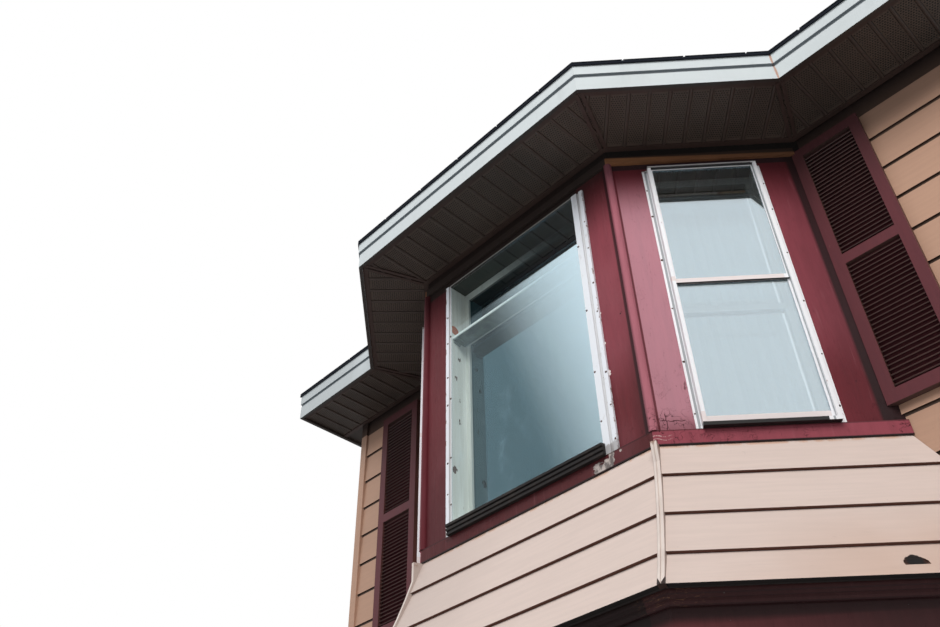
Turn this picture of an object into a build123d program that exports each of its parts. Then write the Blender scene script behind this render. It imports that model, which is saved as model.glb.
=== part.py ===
"""Canted bay window of a timber house, with its eave, flared apron and the wall beside it.

Millimetres. X runs along the house wall, to the right as seen from outside. Y runs into
the house and Z up. The origin is on the back face of the floor rim.
"""

import os
from math import asin, atan, cos, degrees, radians, sin, sqrt, tan

from build123d import *

os.makedirs("parts", exist_ok=True)

# Plan of the bay and of the wall that it stands on
bay_width = 1375
bay_depth = 665
cant_angle = 43
bay_wall_thickness = 150
wall_thickness = 150
cladding_depth = 12
left_wall_end = 2135
right_wall_end = 2240

# Levels
floor_top = 120
wall_foot = -210
eave_above_floor = 2370
deck_thickness = 40

# Eave and roof
eave_overhang = 406
eave_end_overhang = 222
soffit_rise = 20
soffit_thickness = 12
fascia_thickness = 20
fascia_lower_height = 98
fascia_groove_height = 17
fascia_groove_depth = 4
fascia_upper_height = 68
fascia_upper_projection = 8
roof_edge_projection = 8
roof_thickness = 18
roof_slope = 1 / 3

# Siding and corner posts of the house wall
siding_exposure = 203.2
siding_thickness = 11.7
siding_tip = 3
siding_first_line = 271
corner_post_width = 55
corner_post_projection = 10
corner_post_leg = 22
corner_post_return = 92

# Trim of the bay
head_strip_drop = 55
head_strip_height = 50
head_strip_thickness = 16
bead_diameter = 40
sill_band_height = 69.7
sill_band_thickness = 14

# Flared apron and what closes it below
apron_drop = 690
apron_top_angle = 14
apron_bottom_angle = 30
apron_top_offset = 20
apron_first_course = 161
apron_course = 209.5
apron_lap = 12
apron_backing = 14
apron_arc_steps = 8
apron_post_half_width = 13
apron_post_groove = 2
apron_post_projection = 7
apron_post_base = 2
apron_post_foot = 5
skirt_offset = 195
skirt_thickness = 20
skirt_top = 100
apron_soffit_rise = 7
apron_soffit_thickness = 12
crown_height = 52
underside_thickness = 18
underside_rise = 18

# Storm window on the front of the bay
front_window_width = 1034
front_window_drop = 150
windows_foot_drop = 1725
front_flange_width = 23
front_flange_thickness = 12
front_groove_width = 13
front_groove_thickness = 4
front_stile_width = 35
front_stile_thickness = 14
front_head_height = 12
front_foot_height = 53
front_pane_offset = 4
front_sill_left = -490
front_sill_right = 455
front_sill_rise = 53
front_sill_fall = 5

# Shelf bar across the reveal of the front window
transom_drop = 526
transom_thickness = 20
transom_front = -3

# Storm windows on the sides of the bay
side_window_width = 588
side_window_distance = 461
side_window_drop = 165
side_flange_width = 14
side_flange_thickness = 5
side_channel_width = 10
side_channel_thickness = 2
side_track_width = 16
side_track_thickness = 38
side_head_height = 10
side_foot_height = 16
side_sash_stile = 8
side_sash_thickness = 10
upper_sash_offset = 13
lower_sash_offset = 2
meeting_drop = 928
meeting_rail_height = 24
sash_head_height = 8
bottom_rail_height = 42
pane_thickness = 4

# Wooden windows behind the storm windows
liner_thickness = 20
liner_clearance = 1
front_sash_depth = 105
side_sash_depth = 60
sash_thickness = 30
sash_stile = 28
sash_rail = 50
front_sash_bar_drop = 500
side_sash_bar_drop = 1028
sash_bar_height = 36

# Curtains
rod_diameter = 8
rod_depth = 143
rod_below_head = 30
curtain_thickness = 4
curtain_hem_clearance = 60
front_curtain_width = 120
side_curtain_clearance = 10

# Shutters
shutter_width = 356
shutter_drop = 90
shutter_foot_drop = 1650
shutter_thickness = 30
shutter_stile = 52
shutter_top_rail = 58
shutter_middle_rail_drop = 843
shutter_middle_rail = 57
shutter_bottom_rail = 62
louvre_pitch = 24
louvre_thickness = 5
louvre_angle = 35
louvre_depth = 22
louvre_setback = 4
shutter_backing = 4
right_shutter_tuck = 28.6
left_shutter_distance = 467.4

# Damaged place near the lip of the right apron
hole_distance = 708
hole_length = 78
hole_height = 26
hole_rise = 57
hole_depth = 9

# Fits
clearance = 0.3
overrun = 700

# Values worked out from the sizes above
half_width = bay_width / 2
turn = radians(cant_angle)
cant_run = bay_depth / tan(turn)
inner_corner = half_width + cant_run
wall_face = -wall_thickness
structure_face = wall_face + cladding_depth
before_wall = wall_face - clearance
bay_face = wall_face - bay_depth
eave = floor_top + eave_above_floor
soffit_level = eave + soffit_rise
fascia_height = fascia_lower_height + fascia_groove_height + fascia_upper_height
roof_reach = eave_overhang + fascia_upper_projection + roof_edge_projection
windows_foot = eave - windows_foot_drop
band_top = windows_foot - clearance
sill_band_foot = band_top - sill_band_height
apron_head = sill_band_foot - clearance
apron_foot = sill_band_foot - apron_drop
hole_level = apron_foot + hole_rise
apron_soffit_level = apron_foot + apron_soffit_rise
skirt_face = skirt_offset + skirt_thickness


def heading_vector(angle):
    """Level unit vector at an angle in degrees from +X."""
    return Vector(cos(radians(angle)), sin(radians(angle)), 0)


class Run:
    """A straight stretch of wall between two plan corners, as seen from outside.

    section is a sketch plane across the run, x outwards from the wall's face and y up.
    face is a sketch plane on the wall's face, x from the run's left corner and y up.
    """

    def __init__(self, name, heading, left_corner, right_corner, left_cut, right_cut):
        self.name = name
        self.along = heading_vector(heading)
        self.outward = Vector(self.along.Y, -self.along.X, 0)
        self.left = Vector(*left_corner)
        self.right = Vector(*right_corner)
        self.left_cut = heading_vector(left_cut)
        self.right_cut = heading_vector(right_cut)
        self.span = (self.right - self.left).length
        start = self.right + self.along * overrun
        self.section = Plane(origin=start, x_dir=self.outward, z_dir=-self.along)
        self.face = Plane(origin=self.left, x_dir=self.along, z_dir=self.outward)


half_turn = cant_angle / 2
left_inner = (-inner_corner, wall_face)
left_front = (-half_width, bay_face)
right_front = (half_width, bay_face)
right_inner = (inner_corner, wall_face)

left = Run("left", -cant_angle, left_inner, left_front, -half_turn, -half_turn)
front = Run("front", 0, left_front, right_front, -half_turn, half_turn)
right = Run("right", cant_angle, right_front, right_inner, half_turn, half_turn)
bay_runs = (left, front, right)


def wall_run(side, reach):
    """Run of the house wall from the bay's inner corner out to a reach, side -1 or 1."""
    if side < 0:
        return Run("main_left", 0, (-reach, wall_face), left_inner, 0, -half_turn)
    return Run("main_right", 0, right_inner, (reach, wall_face), half_turn, 0)


wall_ends = {-1: left_wall_end, 1: right_wall_end}
side_names = {-1: "left", 1: "right"}


def roof_under(offset):
    """Level of the underside of the roof at an offset from the wall's face."""
    return eave + fascia_height + roof_slope * (roof_reach - offset)


def cant_x(offset, y):
    """X where the right cant's face, moved outwards by an offset, crosses a line of constant Y."""
    return half_width + (y - bay_face) / tan(turn) + offset / sin(turn)


def bay_outline(offset, back):
    """Plan of the bay moved outwards by an offset and cut off at Y = back."""
    corner = half_width + offset * tan(turn / 2)
    nose = bay_face - offset
    side = cant_x(offset, back)
    return [(-side, back), (-corner, nose), (corner, nose), (side, back)]


alcove_half = cant_x(-bay_wall_thickness, structure_face)


def keep_right_of(run, inset=0):
    """Cuts the part in hand at a run's left corner plane, moved in by an inset."""
    split(bisect_by=Plane(origin=run.left + run.left_cut * inset, z_dir=run.left_cut), keep=Keep.TOP)


def keep_left_of(run, inset=0):
    """Cuts the part in hand at a run's right corner plane, moved in by an inset."""
    split(bisect_by=Plane(origin=run.right - run.right_cut * inset, z_dir=run.right_cut), keep=Keep.BOTTOM)


def keep_before(y):
    """Keeps what lies in front of Y = y."""
    split(bisect_by=Plane(origin=(0, y, 0), z_dir=(0, 1, 0)), keep=Keep.BOTTOM)


def keep_above(level):
    """Keeps what lies above a level."""
    split(bisect_by=Plane(origin=(0, 0, level), z_dir=(0, 0, 1)), keep=Keep.TOP)


def lay_along(run, outline):
    """Extrudes an outline of (offset, level) points past both ends of a run."""
    with BuildSketch(run.section) as section:
        with BuildLine():
            Polyline(*outline, close=True)
        make_face()
    extrude(section.sketch, amount=run.span + 2 * overrun)


def mitred(run, outline, back=None):
    """A length of one section, mitred at both corners and cut off at Y = back."""
    with BuildPart() as piece:
        lay_along(run, outline)
        keep_right_of(run, clearance / 2)
        keep_left_of(run, clearance / 2)
        if back is not None:
            keep_before(back)
    return piece.part


def to_wall(run, outline, back=before_wall, inset=clearance / 2):
    """A length of one section round the bay, mitred at the bay's front corners only."""
    with BuildPart() as piece:
        lay_along(run, outline)
        if run is not left:
            keep_right_of(run, inset)
        if run is not right:
            keep_left_of(run, inset)
        keep_before(back)
    return piece.part


def oblong(low_offset, high_offset, bottom, top):
    """Outline of a rectangular section."""
    return [(low_offset, bottom), (high_offset, bottom), (high_offset, top), (low_offset, top)]


def prism(outline, bottom, height):
    """A plan outline of (x, y) points raised from a level."""
    with BuildPart() as solid:
        with BuildSketch(Plane.XY.offset(bottom)) as plan:
            with BuildLine():
                Polyline(*outline, close=True)
            make_face()
        extrude(amount=height)
    return solid.part


def save(name, *pieces):
    """Labels a sub-part made of one or more solids and writes its file."""
    with BuildPart() as node:
        add(pieces)
    node.part.label = name
    export_step(node.part, f"parts/{name}.step")


# House wall beside the bay, up to the underside of the roof
for side in (-1, 1):
    run = wall_run(side, wall_ends[side] - corner_post_leg - clearance)
    with BuildPart() as house_wall:
        lay_along(
            run,
            [
                (-wall_thickness, wall_foot),
                (-cladding_depth, wall_foot),
                (-cladding_depth, roof_under(-cladding_depth) - clearance),
                (-wall_thickness, roof_under(-wall_thickness) - clearance),
            ],
        )
        inner_edge = Plane(origin=(side * alcove_half, 0, 0), z_dir=(side, 0, 0))
        split(bisect_by=inner_edge, keep=Keep.TOP)
        outer_edge = Plane(origin=run.left if side < 0 else run.right, z_dir=(side, 0, 0))
        split(bisect_by=outer_edge, keep=Keep.BOTTOM)
    save(f"wall_{side_names[side]}", house_wall.part)

# Wall over the alcove, cut to the slopes of the bay's roof
beam_half = alcove_half - clearance
beam_middle = (structure_face + clearance) / 2
with BuildPart() as header:
    with BuildSketch(Plane.XY.offset(soffit_level)):
        with Locations((0, structure_face / 2)):
            Rectangle(2 * beam_half, -structure_face)
    extrude(amount=900)
    for run in bay_runs:
        slope_normal = run.outward * roof_slope + Vector(0, 0, 1)
        slope_point = run.left + Vector(0, 0, roof_under(0) - clearance)
        split(bisect_by=Plane(origin=slope_point, z_dir=slope_normal), keep=Keep.BOTTOM)
save("wall_header", header.part)

# Rim beam under the alcove's floor
rim_plan = [(-beam_half, structure_face), (beam_half, structure_face), (beam_half, 0), (-beam_half, 0)]
save("floor_rim", prism(rim_plan, wall_foot, floor_top - wall_foot))

# Deck of the bay, carried out past the walls to the boards of the skirt
with BuildPart() as deck:
    add(prism(bay_outline(0, structure_face - clearance), floor_top - deck_thickness, deck_thickness))
    add(prism(bay_outline(skirt_offset - clearance, before_wall), floor_top - deck_thickness, deck_thickness))
save("bay_floor", deck.part)

# Board that closes the floor below
board_back = structure_face - clearance
board_level = wall_foot + underside_rise
with BuildPart() as underside:
    add(prism(bay_outline(0, board_back), board_level, underside_thickness))
    add(prism(bay_outline(skirt_offset - clearance, before_wall), board_level, underside_thickness))
save("underside", underside.part)

# Ceiling inside the bay
ceiling_plan = bay_outline(-bay_wall_thickness - clearance, structure_face - clearance)
save("bay_ceiling", prism(ceiling_plan, soffit_level, soffit_thickness))


class Window:
    """Place and size of one window: the run it is on and the clear light inside its frame."""

    def __init__(self, run, width, middle, drop, left_member, right_member, head, foot):
        self.run = run
        self.width = width
        self.middle = middle
        self.top = eave - drop
        self.bottom = windows_foot
        self.light_width = width - left_member - right_member
        self.light_shift = (left_member - right_member) / 2
        self.light_top = self.top - head
        self.light_bottom = self.bottom + foot
        self.light_height = self.light_top - self.light_bottom
        self.light_middle = (self.light_top + self.light_bottom) / 2


front_left_member = front_flange_width + front_groove_width
front_right_member = front_left_member + front_stile_width
side_member = side_flange_width + side_channel_width + side_track_width
front_window = Window(
    front, front_window_width, front.span / 2, front_window_drop, front_left_member, front_right_member,
    front_head_height, front_foot_height
)
left_window = Window(
    left, side_window_width, left.span - side_window_distance, side_window_drop, side_member, side_member,
    side_head_height, side_foot_height
)
right_window = Window(
    right, side_window_width, side_window_distance, side_window_drop, side_member, side_member,
    side_head_height, side_foot_height
)
side_windows = (left_window, right_window)
windows = (left_window, front_window, right_window)


def slab(window, low_offset, thickness, width, bottom, top, shift=0):
    """A flat board on a window between two levels, from an offset outwards."""
    with BuildPart() as board:
        with BuildSketch(window.run.face.offset(low_offset)):
            with Locations((window.middle + shift, (bottom + top) / 2)):
                Rectangle(width, top - bottom)
        extrude(amount=thickness)
    return board.part


def ring(window, low_offset, thickness, width, bottom, top, side, head, foot, shift=0):
    """A frame on a window between two levels, with its own side, head and foot widths."""
    with BuildPart() as frame:
        with BuildSketch(window.run.face.offset(low_offset)):
            with Locations((window.middle + shift, (bottom + top) / 2)):
                Rectangle(width, top - bottom)
            with Locations((window.middle + shift, (bottom + foot + top - head) / 2)):
                Rectangle(width - 2 * side, top - head - bottom - foot, mode=Mode.SUBTRACT)
        extrude(amount=thickness)
    return frame.part


# Walls of the bay, standing on the deck, with the windows cut through them
wall_section = [
    (-bay_wall_thickness, floor_top),
    (0, floor_top),
    (0, roof_under(0) - clearance),
    (-bay_wall_thickness, roof_under(-bay_wall_thickness) - clearance),
]
for window in windows:
    allowance = liner_thickness + liner_clearance
    with BuildPart() as bay_wall:
        add(to_wall(window.run, wall_section, back=structure_face - clearance))
        add(
            slab(
                window,
                -2 * bay_wall_thickness,
                4 * bay_wall_thickness,
                window.light_width + 2 * allowance,
                window.light_bottom - allowance,
                window.light_top + allowance,
                window.light_shift,
            ),
            mode=Mode.SUBTRACT,
        )
    save(f"bay_wall_{window.run.name}", bay_wall.part)


def siding_outline(bottom, top):
    """Section of lapped siding whose first shadow line lies at a set drop below the eave."""
    low = -cladding_depth + clearance
    points = [(low, bottom), (low, top), (low + siding_tip, top)]
    line = eave - siding_first_line
    while line > bottom:
        points += [(low + siding_thickness - clearance, line), (low + siding_tip, line)]
        line -= siding_exposure
    reach = (line + siding_exposure - bottom) / siding_exposure
    points.append((low + siding_tip + (siding_thickness - clearance - siding_tip) * reach, bottom))
    return points


# Siding of the house wall, scribed to the sides of the bay, and the posts at its ends
corner_posts = []
for side, cant in ((-1, left), (1, right)):
    wall_end = wall_ends[side]
    run = wall_run(side, wall_end - corner_post_width - clearance)
    with BuildPart() as siding:
        lay_along(run, siding_outline(wall_foot, soffit_level + soffit_thickness))
        scribe = Plane(origin=cant.left + cant.outward * clearance, z_dir=cant.outward)
        split(bisect_by=scribe, keep=Keep.TOP)
        outer_edge = Plane(origin=run.left if side < 0 else run.right, z_dir=(side, 0, 0))
        split(bisect_by=outer_edge, keep=Keep.BOTTOM)
    save(f"siding_{side_names[side]}", siding.part)

    post_front = wall_face - corner_post_projection
    post_back = structure_face - clearance
    post_plan = [
        (side * (wall_end - corner_post_width), post_back),
        (side * (wall_end - corner_post_width), post_front),
        (side * wall_end, post_front),
        (side * wall_end, post_front + corner_post_return),
        (side * (wall_end - corner_post_leg), post_front + corner_post_return),
        (side * (wall_end - corner_post_leg), post_back),
    ]
    corner_posts.append(prism(post_plan, wall_foot, soffit_level - clearance - wall_foot))
save("corner_posts", *corner_posts)


# Flared apron: its face is an arc that leans out further towards the lip
top_lean = radians(apron_top_angle)
bottom_lean = radians(apron_bottom_angle)
apron_radius = apron_drop / (sin(bottom_lean) - sin(top_lean))
apron_length = apron_radius * (bottom_lean - top_lean)
apron_depth = apron_lap + apron_backing


def apron_point(distance, depth=0):
    """Point on the apron's curve a distance down it, moved in from the face by a depth."""
    lean = top_lean + distance / apron_radius
    radius = apron_radius + depth
    offset = apron_top_offset + apron_radius * cos(top_lean) - radius * cos(lean)
    return (offset, sill_band_foot + apron_radius * sin(top_lean) - radius * sin(lean))


def apron_offset(level, depth):
    """Offset of the apron's curve, moved in by a depth, at a level."""
    radius = apron_radius + depth
    lean = asin((sill_band_foot + apron_radius * sin(top_lean) - level) / radius)
    return apron_top_offset + apron_radius * cos(top_lean) - radius * cos(lean)


def apron_curve(depth, past=30):
    """Points down the apron's curve at a depth, carried a little past its lip."""
    return [apron_point((apron_length + past) * step / apron_arc_steps, depth) for step in range(apron_arc_steps + 1)]


course_ends = []
course_end = apron_first_course
while course_end < apron_length - apron_lap:
    course_ends.append(course_end)
    course_end += apron_course
lapped_face = [(apron_top_offset - apron_lap, apron_head)]
for distance in course_ends:
    lapped_face += [apron_point(distance), apron_point(distance, apron_lap)]
lapped_face.append(apron_point(apron_length))
lapped_face.append(apron_point(apron_length + 30))
backing = [point for point in apron_curve(apron_depth) if point[0] > clearance]
apron_section = lapped_face + backing[::-1] + [(clearance, backing[0][1]), (clearance, apron_head)]

for run in bay_runs:
    with BuildPart() as apron:
        add(to_wall(run, apron_section, inset=apron_post_half_width + clearance))
        keep_above(apron_foot)
        if run is right:
            with BuildSketch(run.face.offset(apron_offset(hole_level, hole_depth))) as hole:
                with Locations((hole_distance, hole_level)):
                    Ellipse(hole_length / 2, hole_height / 2)
            extrude(hole.sketch, amount=4 * apron_lap, mode=Mode.SUBTRACT)
    save(f"apron_{run.name}", apron.part)


def post_strip(run, at_right, near, projection):
    """Half of an apron corner post: a strip beside the corner plane, proud of the apron."""
    outer = [point for point in apron_curve(-projection) if point[1] < apron_head]
    outer = [(outer[0][0], apron_head)] + outer
    outline = outer + backing[::-1] + [(clearance, backing[0][1]), (clearance, apron_head)]
    with BuildPart() as strip:
        lay_along(run, outline)
        if at_right:
            keep_left_of(run, near)
            far_edge = Plane(origin=run.right - run.right_cut * apron_post_half_width, z_dir=run.right_cut)
            split(bisect_by=far_edge, keep=Keep.TOP)
        else:
            keep_right_of(run, near)
            far_edge = Plane(origin=run.left + run.left_cut * apron_post_half_width, z_dir=run.left_cut)
            split(bisect_by=far_edge, keep=Keep.BOTTOM)
        keep_above(apron_foot - apron_post_foot)
    return strip.part


# Ribbed posts that cover the front corners of the apron
apron_posts = []
for first, second in ((left, front), (front, right)):
    with BuildPart() as post:
        for run, at_right in ((first, True), (second, False)):
            add(post_strip(run, at_right, 0, apron_post_base))
            add(post_strip(run, at_right, apron_post_groove, apron_post_projection))
    apron_posts.append(post.part)
save("apron_posts", *apron_posts)

# Strips, band and beads round the bay
strip_top = eave - head_strip_drop
strip_foot = strip_top - head_strip_height
strip_end = before_wall - shutter_thickness - clearance
strip_section = oblong(clearance, head_strip_thickness, strip_foot, strip_top)
save("head_strips", *[to_wall(run, strip_section, back=strip_end) for run in bay_runs])

band_section = oblong(clearance, sill_band_thickness, sill_band_foot, band_top)
save("sill_bands", *[to_wall(run, band_section) for run in bay_runs])

beads = []
for corner in (left_front, right_front):
    with BuildPart() as bead:
        with BuildSketch(Plane.XY.offset(windows_foot)):
            with Locations(corner):
                Circle(bead_diameter / 2)
            with BuildLine():
                Polyline(*bay_outline(clearance, structure_face), close=True)
            make_face(mode=Mode.SUBTRACT)
        extrude(amount=strip_foot - clearance - windows_foot)
    beads.append(bead.part)
save("corner_beads", *beads)

# Skirt boards under the apron, with the crown moulding and the board that meets the apron
save(
    "skirt_boards",
    *[to_wall(run, oblong(skirt_offset, skirt_face, wall_foot, skirt_top)) for run in bay_runs],
)

crown_foot = apron_soffit_level - clearance - crown_height
crown_profile = [
    (0, 0),
    (11, 0),
    (14, 4),
    (17, 12),
    (17, 22),
    (20, 24),
    (22, 34),
    (26, 38),
    (28, 46),
    (28, crown_height),
    (0, crown_height),
]
crown_section = [(skirt_face + clearance + out, crown_foot + rise) for out, rise in crown_profile]
save("crown_moulding", *[to_wall(run, crown_section) for run in bay_runs])

board_top = apron_soffit_level + apron_soffit_thickness
apron_soffit_section = [
    (skirt_face + clearance, apron_soffit_level),
    (apron_offset(apron_soffit_level, apron_depth) - clearance, apron_soffit_level),
    (apron_offset(board_top, apron_depth) - clearance, board_top),
    (skirt_face + clearance, board_top),
]
save("apron_soffit", *[to_wall(run, apron_soffit_section) for run in bay_runs])

# Front storm window: flange and groove, a stile at the right only, its pane and its ridged sill
with BuildPart() as front_frame:
    for inset, thickness in ((0, front_groove_thickness), (front_left_member, front_stile_thickness)):
        with BuildSketch(front.face.offset(clearance)) as frame_face:
            with Locations((front_window.middle, (front_window.bottom + front_window.top) / 2)):
                Rectangle(front_window_width - 2 * inset, front_window.top - front_window.bottom)
            with Locations((front_window.middle + front_window.light_shift, front_window.light_middle)):
                Rectangle(front_window.light_width, front_window.light_height, mode=Mode.SUBTRACT)
        extrude(frame_face.sketch, amount=thickness)
    for shift in (-1, 1):
        add(
            slab(
                front_window,
                clearance,
                front_flange_thickness,
                front_flange_width,
                front_window.bottom,
                front_window.top,
                shift * (front_window_width - front_flange_width) / 2,
            )
        )
save("front_frame", front_frame.part)

front_pane = slab(
    front_window,
    front_pane_offset,
    pane_thickness,
    front_window.light_width - 2 * clearance,
    front_window.light_bottom + clearance,
    front_window.light_top - clearance,
    front_window.light_shift,
)
save("front_glass", front_pane)

sill_top = windows_foot + front_sill_rise
sill_foot = windows_foot - front_sill_fall
sill_back = front_stile_thickness + 2 * clearance
front_sill_section = [
    (sill_back, sill_foot),
    (sill_back + 19, sill_foot),
    (sill_back + 19, sill_foot + 12),
    (sill_back + 15, sill_foot + 14),
    (sill_back + 15, sill_foot + 18),
    (sill_back + 23, sill_foot + 20),
    (sill_back + 23, sill_foot + 32),
    (sill_back + 18, sill_foot + 34),
    (sill_back + 18, sill_foot + 38),
    (sill_back + 27, sill_foot + 40),
    (sill_back + 27, sill_foot + 52),
    (sill_back, sill_top),
]
with BuildPart() as front_sill:
    lay_along(front, front_sill_section)
    split(bisect_by=Plane(origin=(front_sill_left, 0, 0), z_dir=(1, 0, 0)), keep=Keep.TOP)
    split(bisect_by=Plane(origin=(front_sill_right, 0, 0), z_dir=(1, 0, 0)), keep=Keep.BOTTOM)
save("front_sill", front_sill.part)

# Side storm windows: flange, channel and track, two sashes and their panes
side_frames = []
side_sashes = []
side_panes = []
for window in side_windows:
    track_inset = side_flange_width + side_channel_width
    with BuildPart() as side_frame:
        for inset, member, thickness in (
            (0, side_member, side_channel_thickness),
            (0, side_flange_width, side_flange_thickness),
            (track_inset, side_track_width, side_track_thickness),
        ):
            head = min(side_head_height, member)
            add(
                ring(
                    window,
                    clearance,
                    thickness,
                    window.width - 2 * inset,
                    window.bottom,
                    window.top,
                    member,
                    head if inset else side_head_height / 2 if member < side_member else side_head_height,
                    side_foot_height,
                )
            )
    side_frames.append(side_frame.part)

    sash_width = window.light_width - 2 * clearance
    upper_foot = eave - meeting_drop - meeting_rail_height
    upper_top = window.light_top - clearance
    lower_top = eave - meeting_drop - clearance
    lower_foot = window.light_bottom + clearance
    upper_sash = ring(
        window, upper_sash_offset, side_sash_thickness, sash_width, upper_foot, upper_top, side_sash_stile,
        sash_head_height, meeting_rail_height
    )
    lower_sash = ring(
        window, lower_sash_offset, side_sash_thickness, sash_width, lower_foot, lower_top, side_sash_stile,
        meeting_rail_height, bottom_rail_height
    )
    side_sashes += [upper_sash, lower_sash]

    pane_width = sash_width - 2 * side_sash_stile - 2 * clearance
    pane_in_sash = (side_sash_thickness - pane_thickness) / 2
    upper_pane = slab(
        window,
        upper_sash_offset + pane_in_sash,
        pane_thickness,
        pane_width,
        upper_foot + meeting_rail_height + clearance,
        upper_top - sash_head_height - clearance,
    )
    lower_pane = slab(
        window,
        lower_sash_offset + pane_in_sash,
        pane_thickness,
        pane_width,
        lower_foot + bottom_rail_height + clearance,
        lower_top - meeting_rail_height - clearance,
    )
    side_panes += [upper_pane, lower_pane]
save("side_frames", *side_frames)
save("side_storm_sashes", *side_sashes)
save("side_glass", *side_panes)

# Wooden windows: the liner of each opening, a sash deep inside it and a curtain on a rod
liners = []
wooden_sashes = []
rods = []
side_curtains = []
for window in windows:
    is_front = window is front_window
    liner = ring(
        window,
        -bay_wall_thickness,
        bay_wall_thickness - clearance,
        window.light_width + 2 * liner_thickness,
        window.light_bottom - liner_thickness,
        window.light_top + liner_thickness,
        liner_thickness,
        liner_thickness,
        liner_thickness,
        window.light_shift,
    )
    liners.append(liner)

    sash_depth = front_sash_depth if is_front else side_sash_depth
    bar_top = eave - (front_sash_bar_drop if is_front else side_sash_bar_drop)
    inner_width = window.light_width - 2 * clearance
    with BuildPart() as wooden_sash:
        add(
            ring(
                window,
                -sash_depth - sash_thickness,
                sash_thickness,
                inner_width,
                window.light_bottom + clearance,
                window.light_top - clearance,
                sash_stile,
                sash_rail,
                sash_rail,
                window.light_shift,
            )
        )
        add(
            slab(
                window,
                -sash_depth - sash_thickness,
                sash_thickness,
                inner_width - sash_stile,
                bar_top - sash_bar_height,
                bar_top,
                window.light_shift,
            )
        )
    wooden_sashes.append(wooden_sash.part)

    rod_level = window.light_top - rod_below_head
    with BuildPart() as rod:
        rod_origin = window.run.left + window.run.along * (window.middle + window.light_shift)
        rod_origin = rod_origin - window.run.outward * rod_depth + Vector(0, 0, rod_level)
        with BuildSketch(Plane(origin=rod_origin, z_dir=window.run.along)):
            Circle(rod_diameter / 2)
        extrude(amount=inner_width / 2, both=True)
    rods.append(rod.part)

    if is_front:
        cloth_width = front_curtain_width
        cloth_shift = window.light_shift - (inner_width - cloth_width) / 2 + side_curtain_clearance
    else:
        cloth_width = inner_width - 2 * side_curtain_clearance
        cloth_shift = 0
    curtain = slab(
        window,
        -rod_depth - curtain_thickness / 2,
        curtain_thickness,
        cloth_width,
        window.light_bottom + curtain_hem_clearance,
        rod_level - rod_diameter / 2 - clearance,
        cloth_shift,
    )
    if is_front:
        save("front_curtain", curtain)
    else:
        side_curtains.append(curtain)
save("window_liners", *liners)
save("wooden_sashes", *wooden_sashes)
save("curtain_rods", *rods)
save("side_curtains", *side_curtains)

transom_top = eave - transom_drop
transom = slab(
    front_window,
    -front_sash_depth + clearance,
    front_sash_depth - clearance + transom_front,
    front_window.light_width - 2 * clearance,
    transom_top - transom_thickness,
    transom_top,
    front_window.light_shift,
)
save("front_transom", transom)


# Louvred shutters on the house wall
def shutter(left_edge):
    """A shutter whose left edge stands at an X, with two fields of louvres before a thin back."""
    middle = left_edge + shutter_width / 2
    top = eave - shutter_drop
    foot = eave - shutter_foot_drop
    field_width = shutter_width - 2 * shutter_stile
    rail_top = eave - shutter_middle_rail_drop
    fields = (
        (rail_top, top - shutter_top_rail),
        (foot + shutter_bottom_rail, rail_top - shutter_middle_rail),
    )
    with BuildPart() as leaf:
        with BuildSketch(Plane(origin=(middle, before_wall, 0), x_dir=(1, 0, 0), z_dir=(0, -1, 0))):
            with Locations((0, (top + foot) / 2)):
                Rectangle(shutter_width, top - foot)
        extrude(amount=shutter_thickness)
        for low, high in fields:
            with BuildSketch(
                Plane(origin=(middle, before_wall - shutter_backing, 0), x_dir=(1, 0, 0), z_dir=(0, -1, 0))
            ):
                with Locations((0, (low + high) / 2)):
                    Rectangle(field_width, high - low)
            extrude(amount=shutter_thickness, mode=Mode.SUBTRACT)
        for low, high in fields:
            count = int((high - low) / louvre_pitch)
            spare = (high - low - count * louvre_pitch) / 2
            slat_middle = before_wall - shutter_backing - (shutter_thickness - shutter_backing - louvre_setback) / 2
            across = Plane(origin=(left_edge + shutter_stile - 1, 0, 0), x_dir=(0, 1, 0), z_dir=(1, 0, 0))
            with BuildSketch(across):
                for index in range(count):
                    level = low + spare + (index + 0.5) * louvre_pitch
                    with Locations(Location((slat_middle, level), louvre_angle)):
                        Rectangle(louvre_depth, louvre_thickness)
            extrude(amount=field_width + 2)
    return leaf.part


save("left_shutter", shutter(-inner_corner - left_shutter_distance))
with BuildPart() as right_shutter:
    add(shutter(inner_corner - right_shutter_tuck))
    split(bisect_by=Plane(origin=right.left + right.outward * clearance, z_dir=right.outward), keep=Keep.TOP)
save("right_shutter", right_shutter.part)

# Eave: fascia in two bands, level soffit and the boards that close its ends
eave_ends = {side: wall_ends[side] + eave_end_overhang for side in wall_ends}
eave_runs = (wall_run(-1, eave_ends[-1]), *bay_runs, wall_run(1, eave_ends[1]))
fascia_back = eave_overhang - fascia_thickness
groove_foot = eave + fascia_lower_height
groove_top = groove_foot + fascia_groove_height
upper_face = eave_overhang + fascia_upper_projection
fascia_section = [
    (fascia_back, eave),
    (eave_overhang, eave),
    (eave_overhang, groove_foot),
    (eave_overhang - fascia_groove_depth, groove_foot),
    (eave_overhang - fascia_groove_depth, groove_top),
    (upper_face, groove_top),
    (upper_face, roof_under(upper_face) - clearance),
    (fascia_back, roof_under(fascia_back) - clearance),
]
save("fascia", *[mitred(run, fascia_section) for run in eave_runs])

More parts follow.
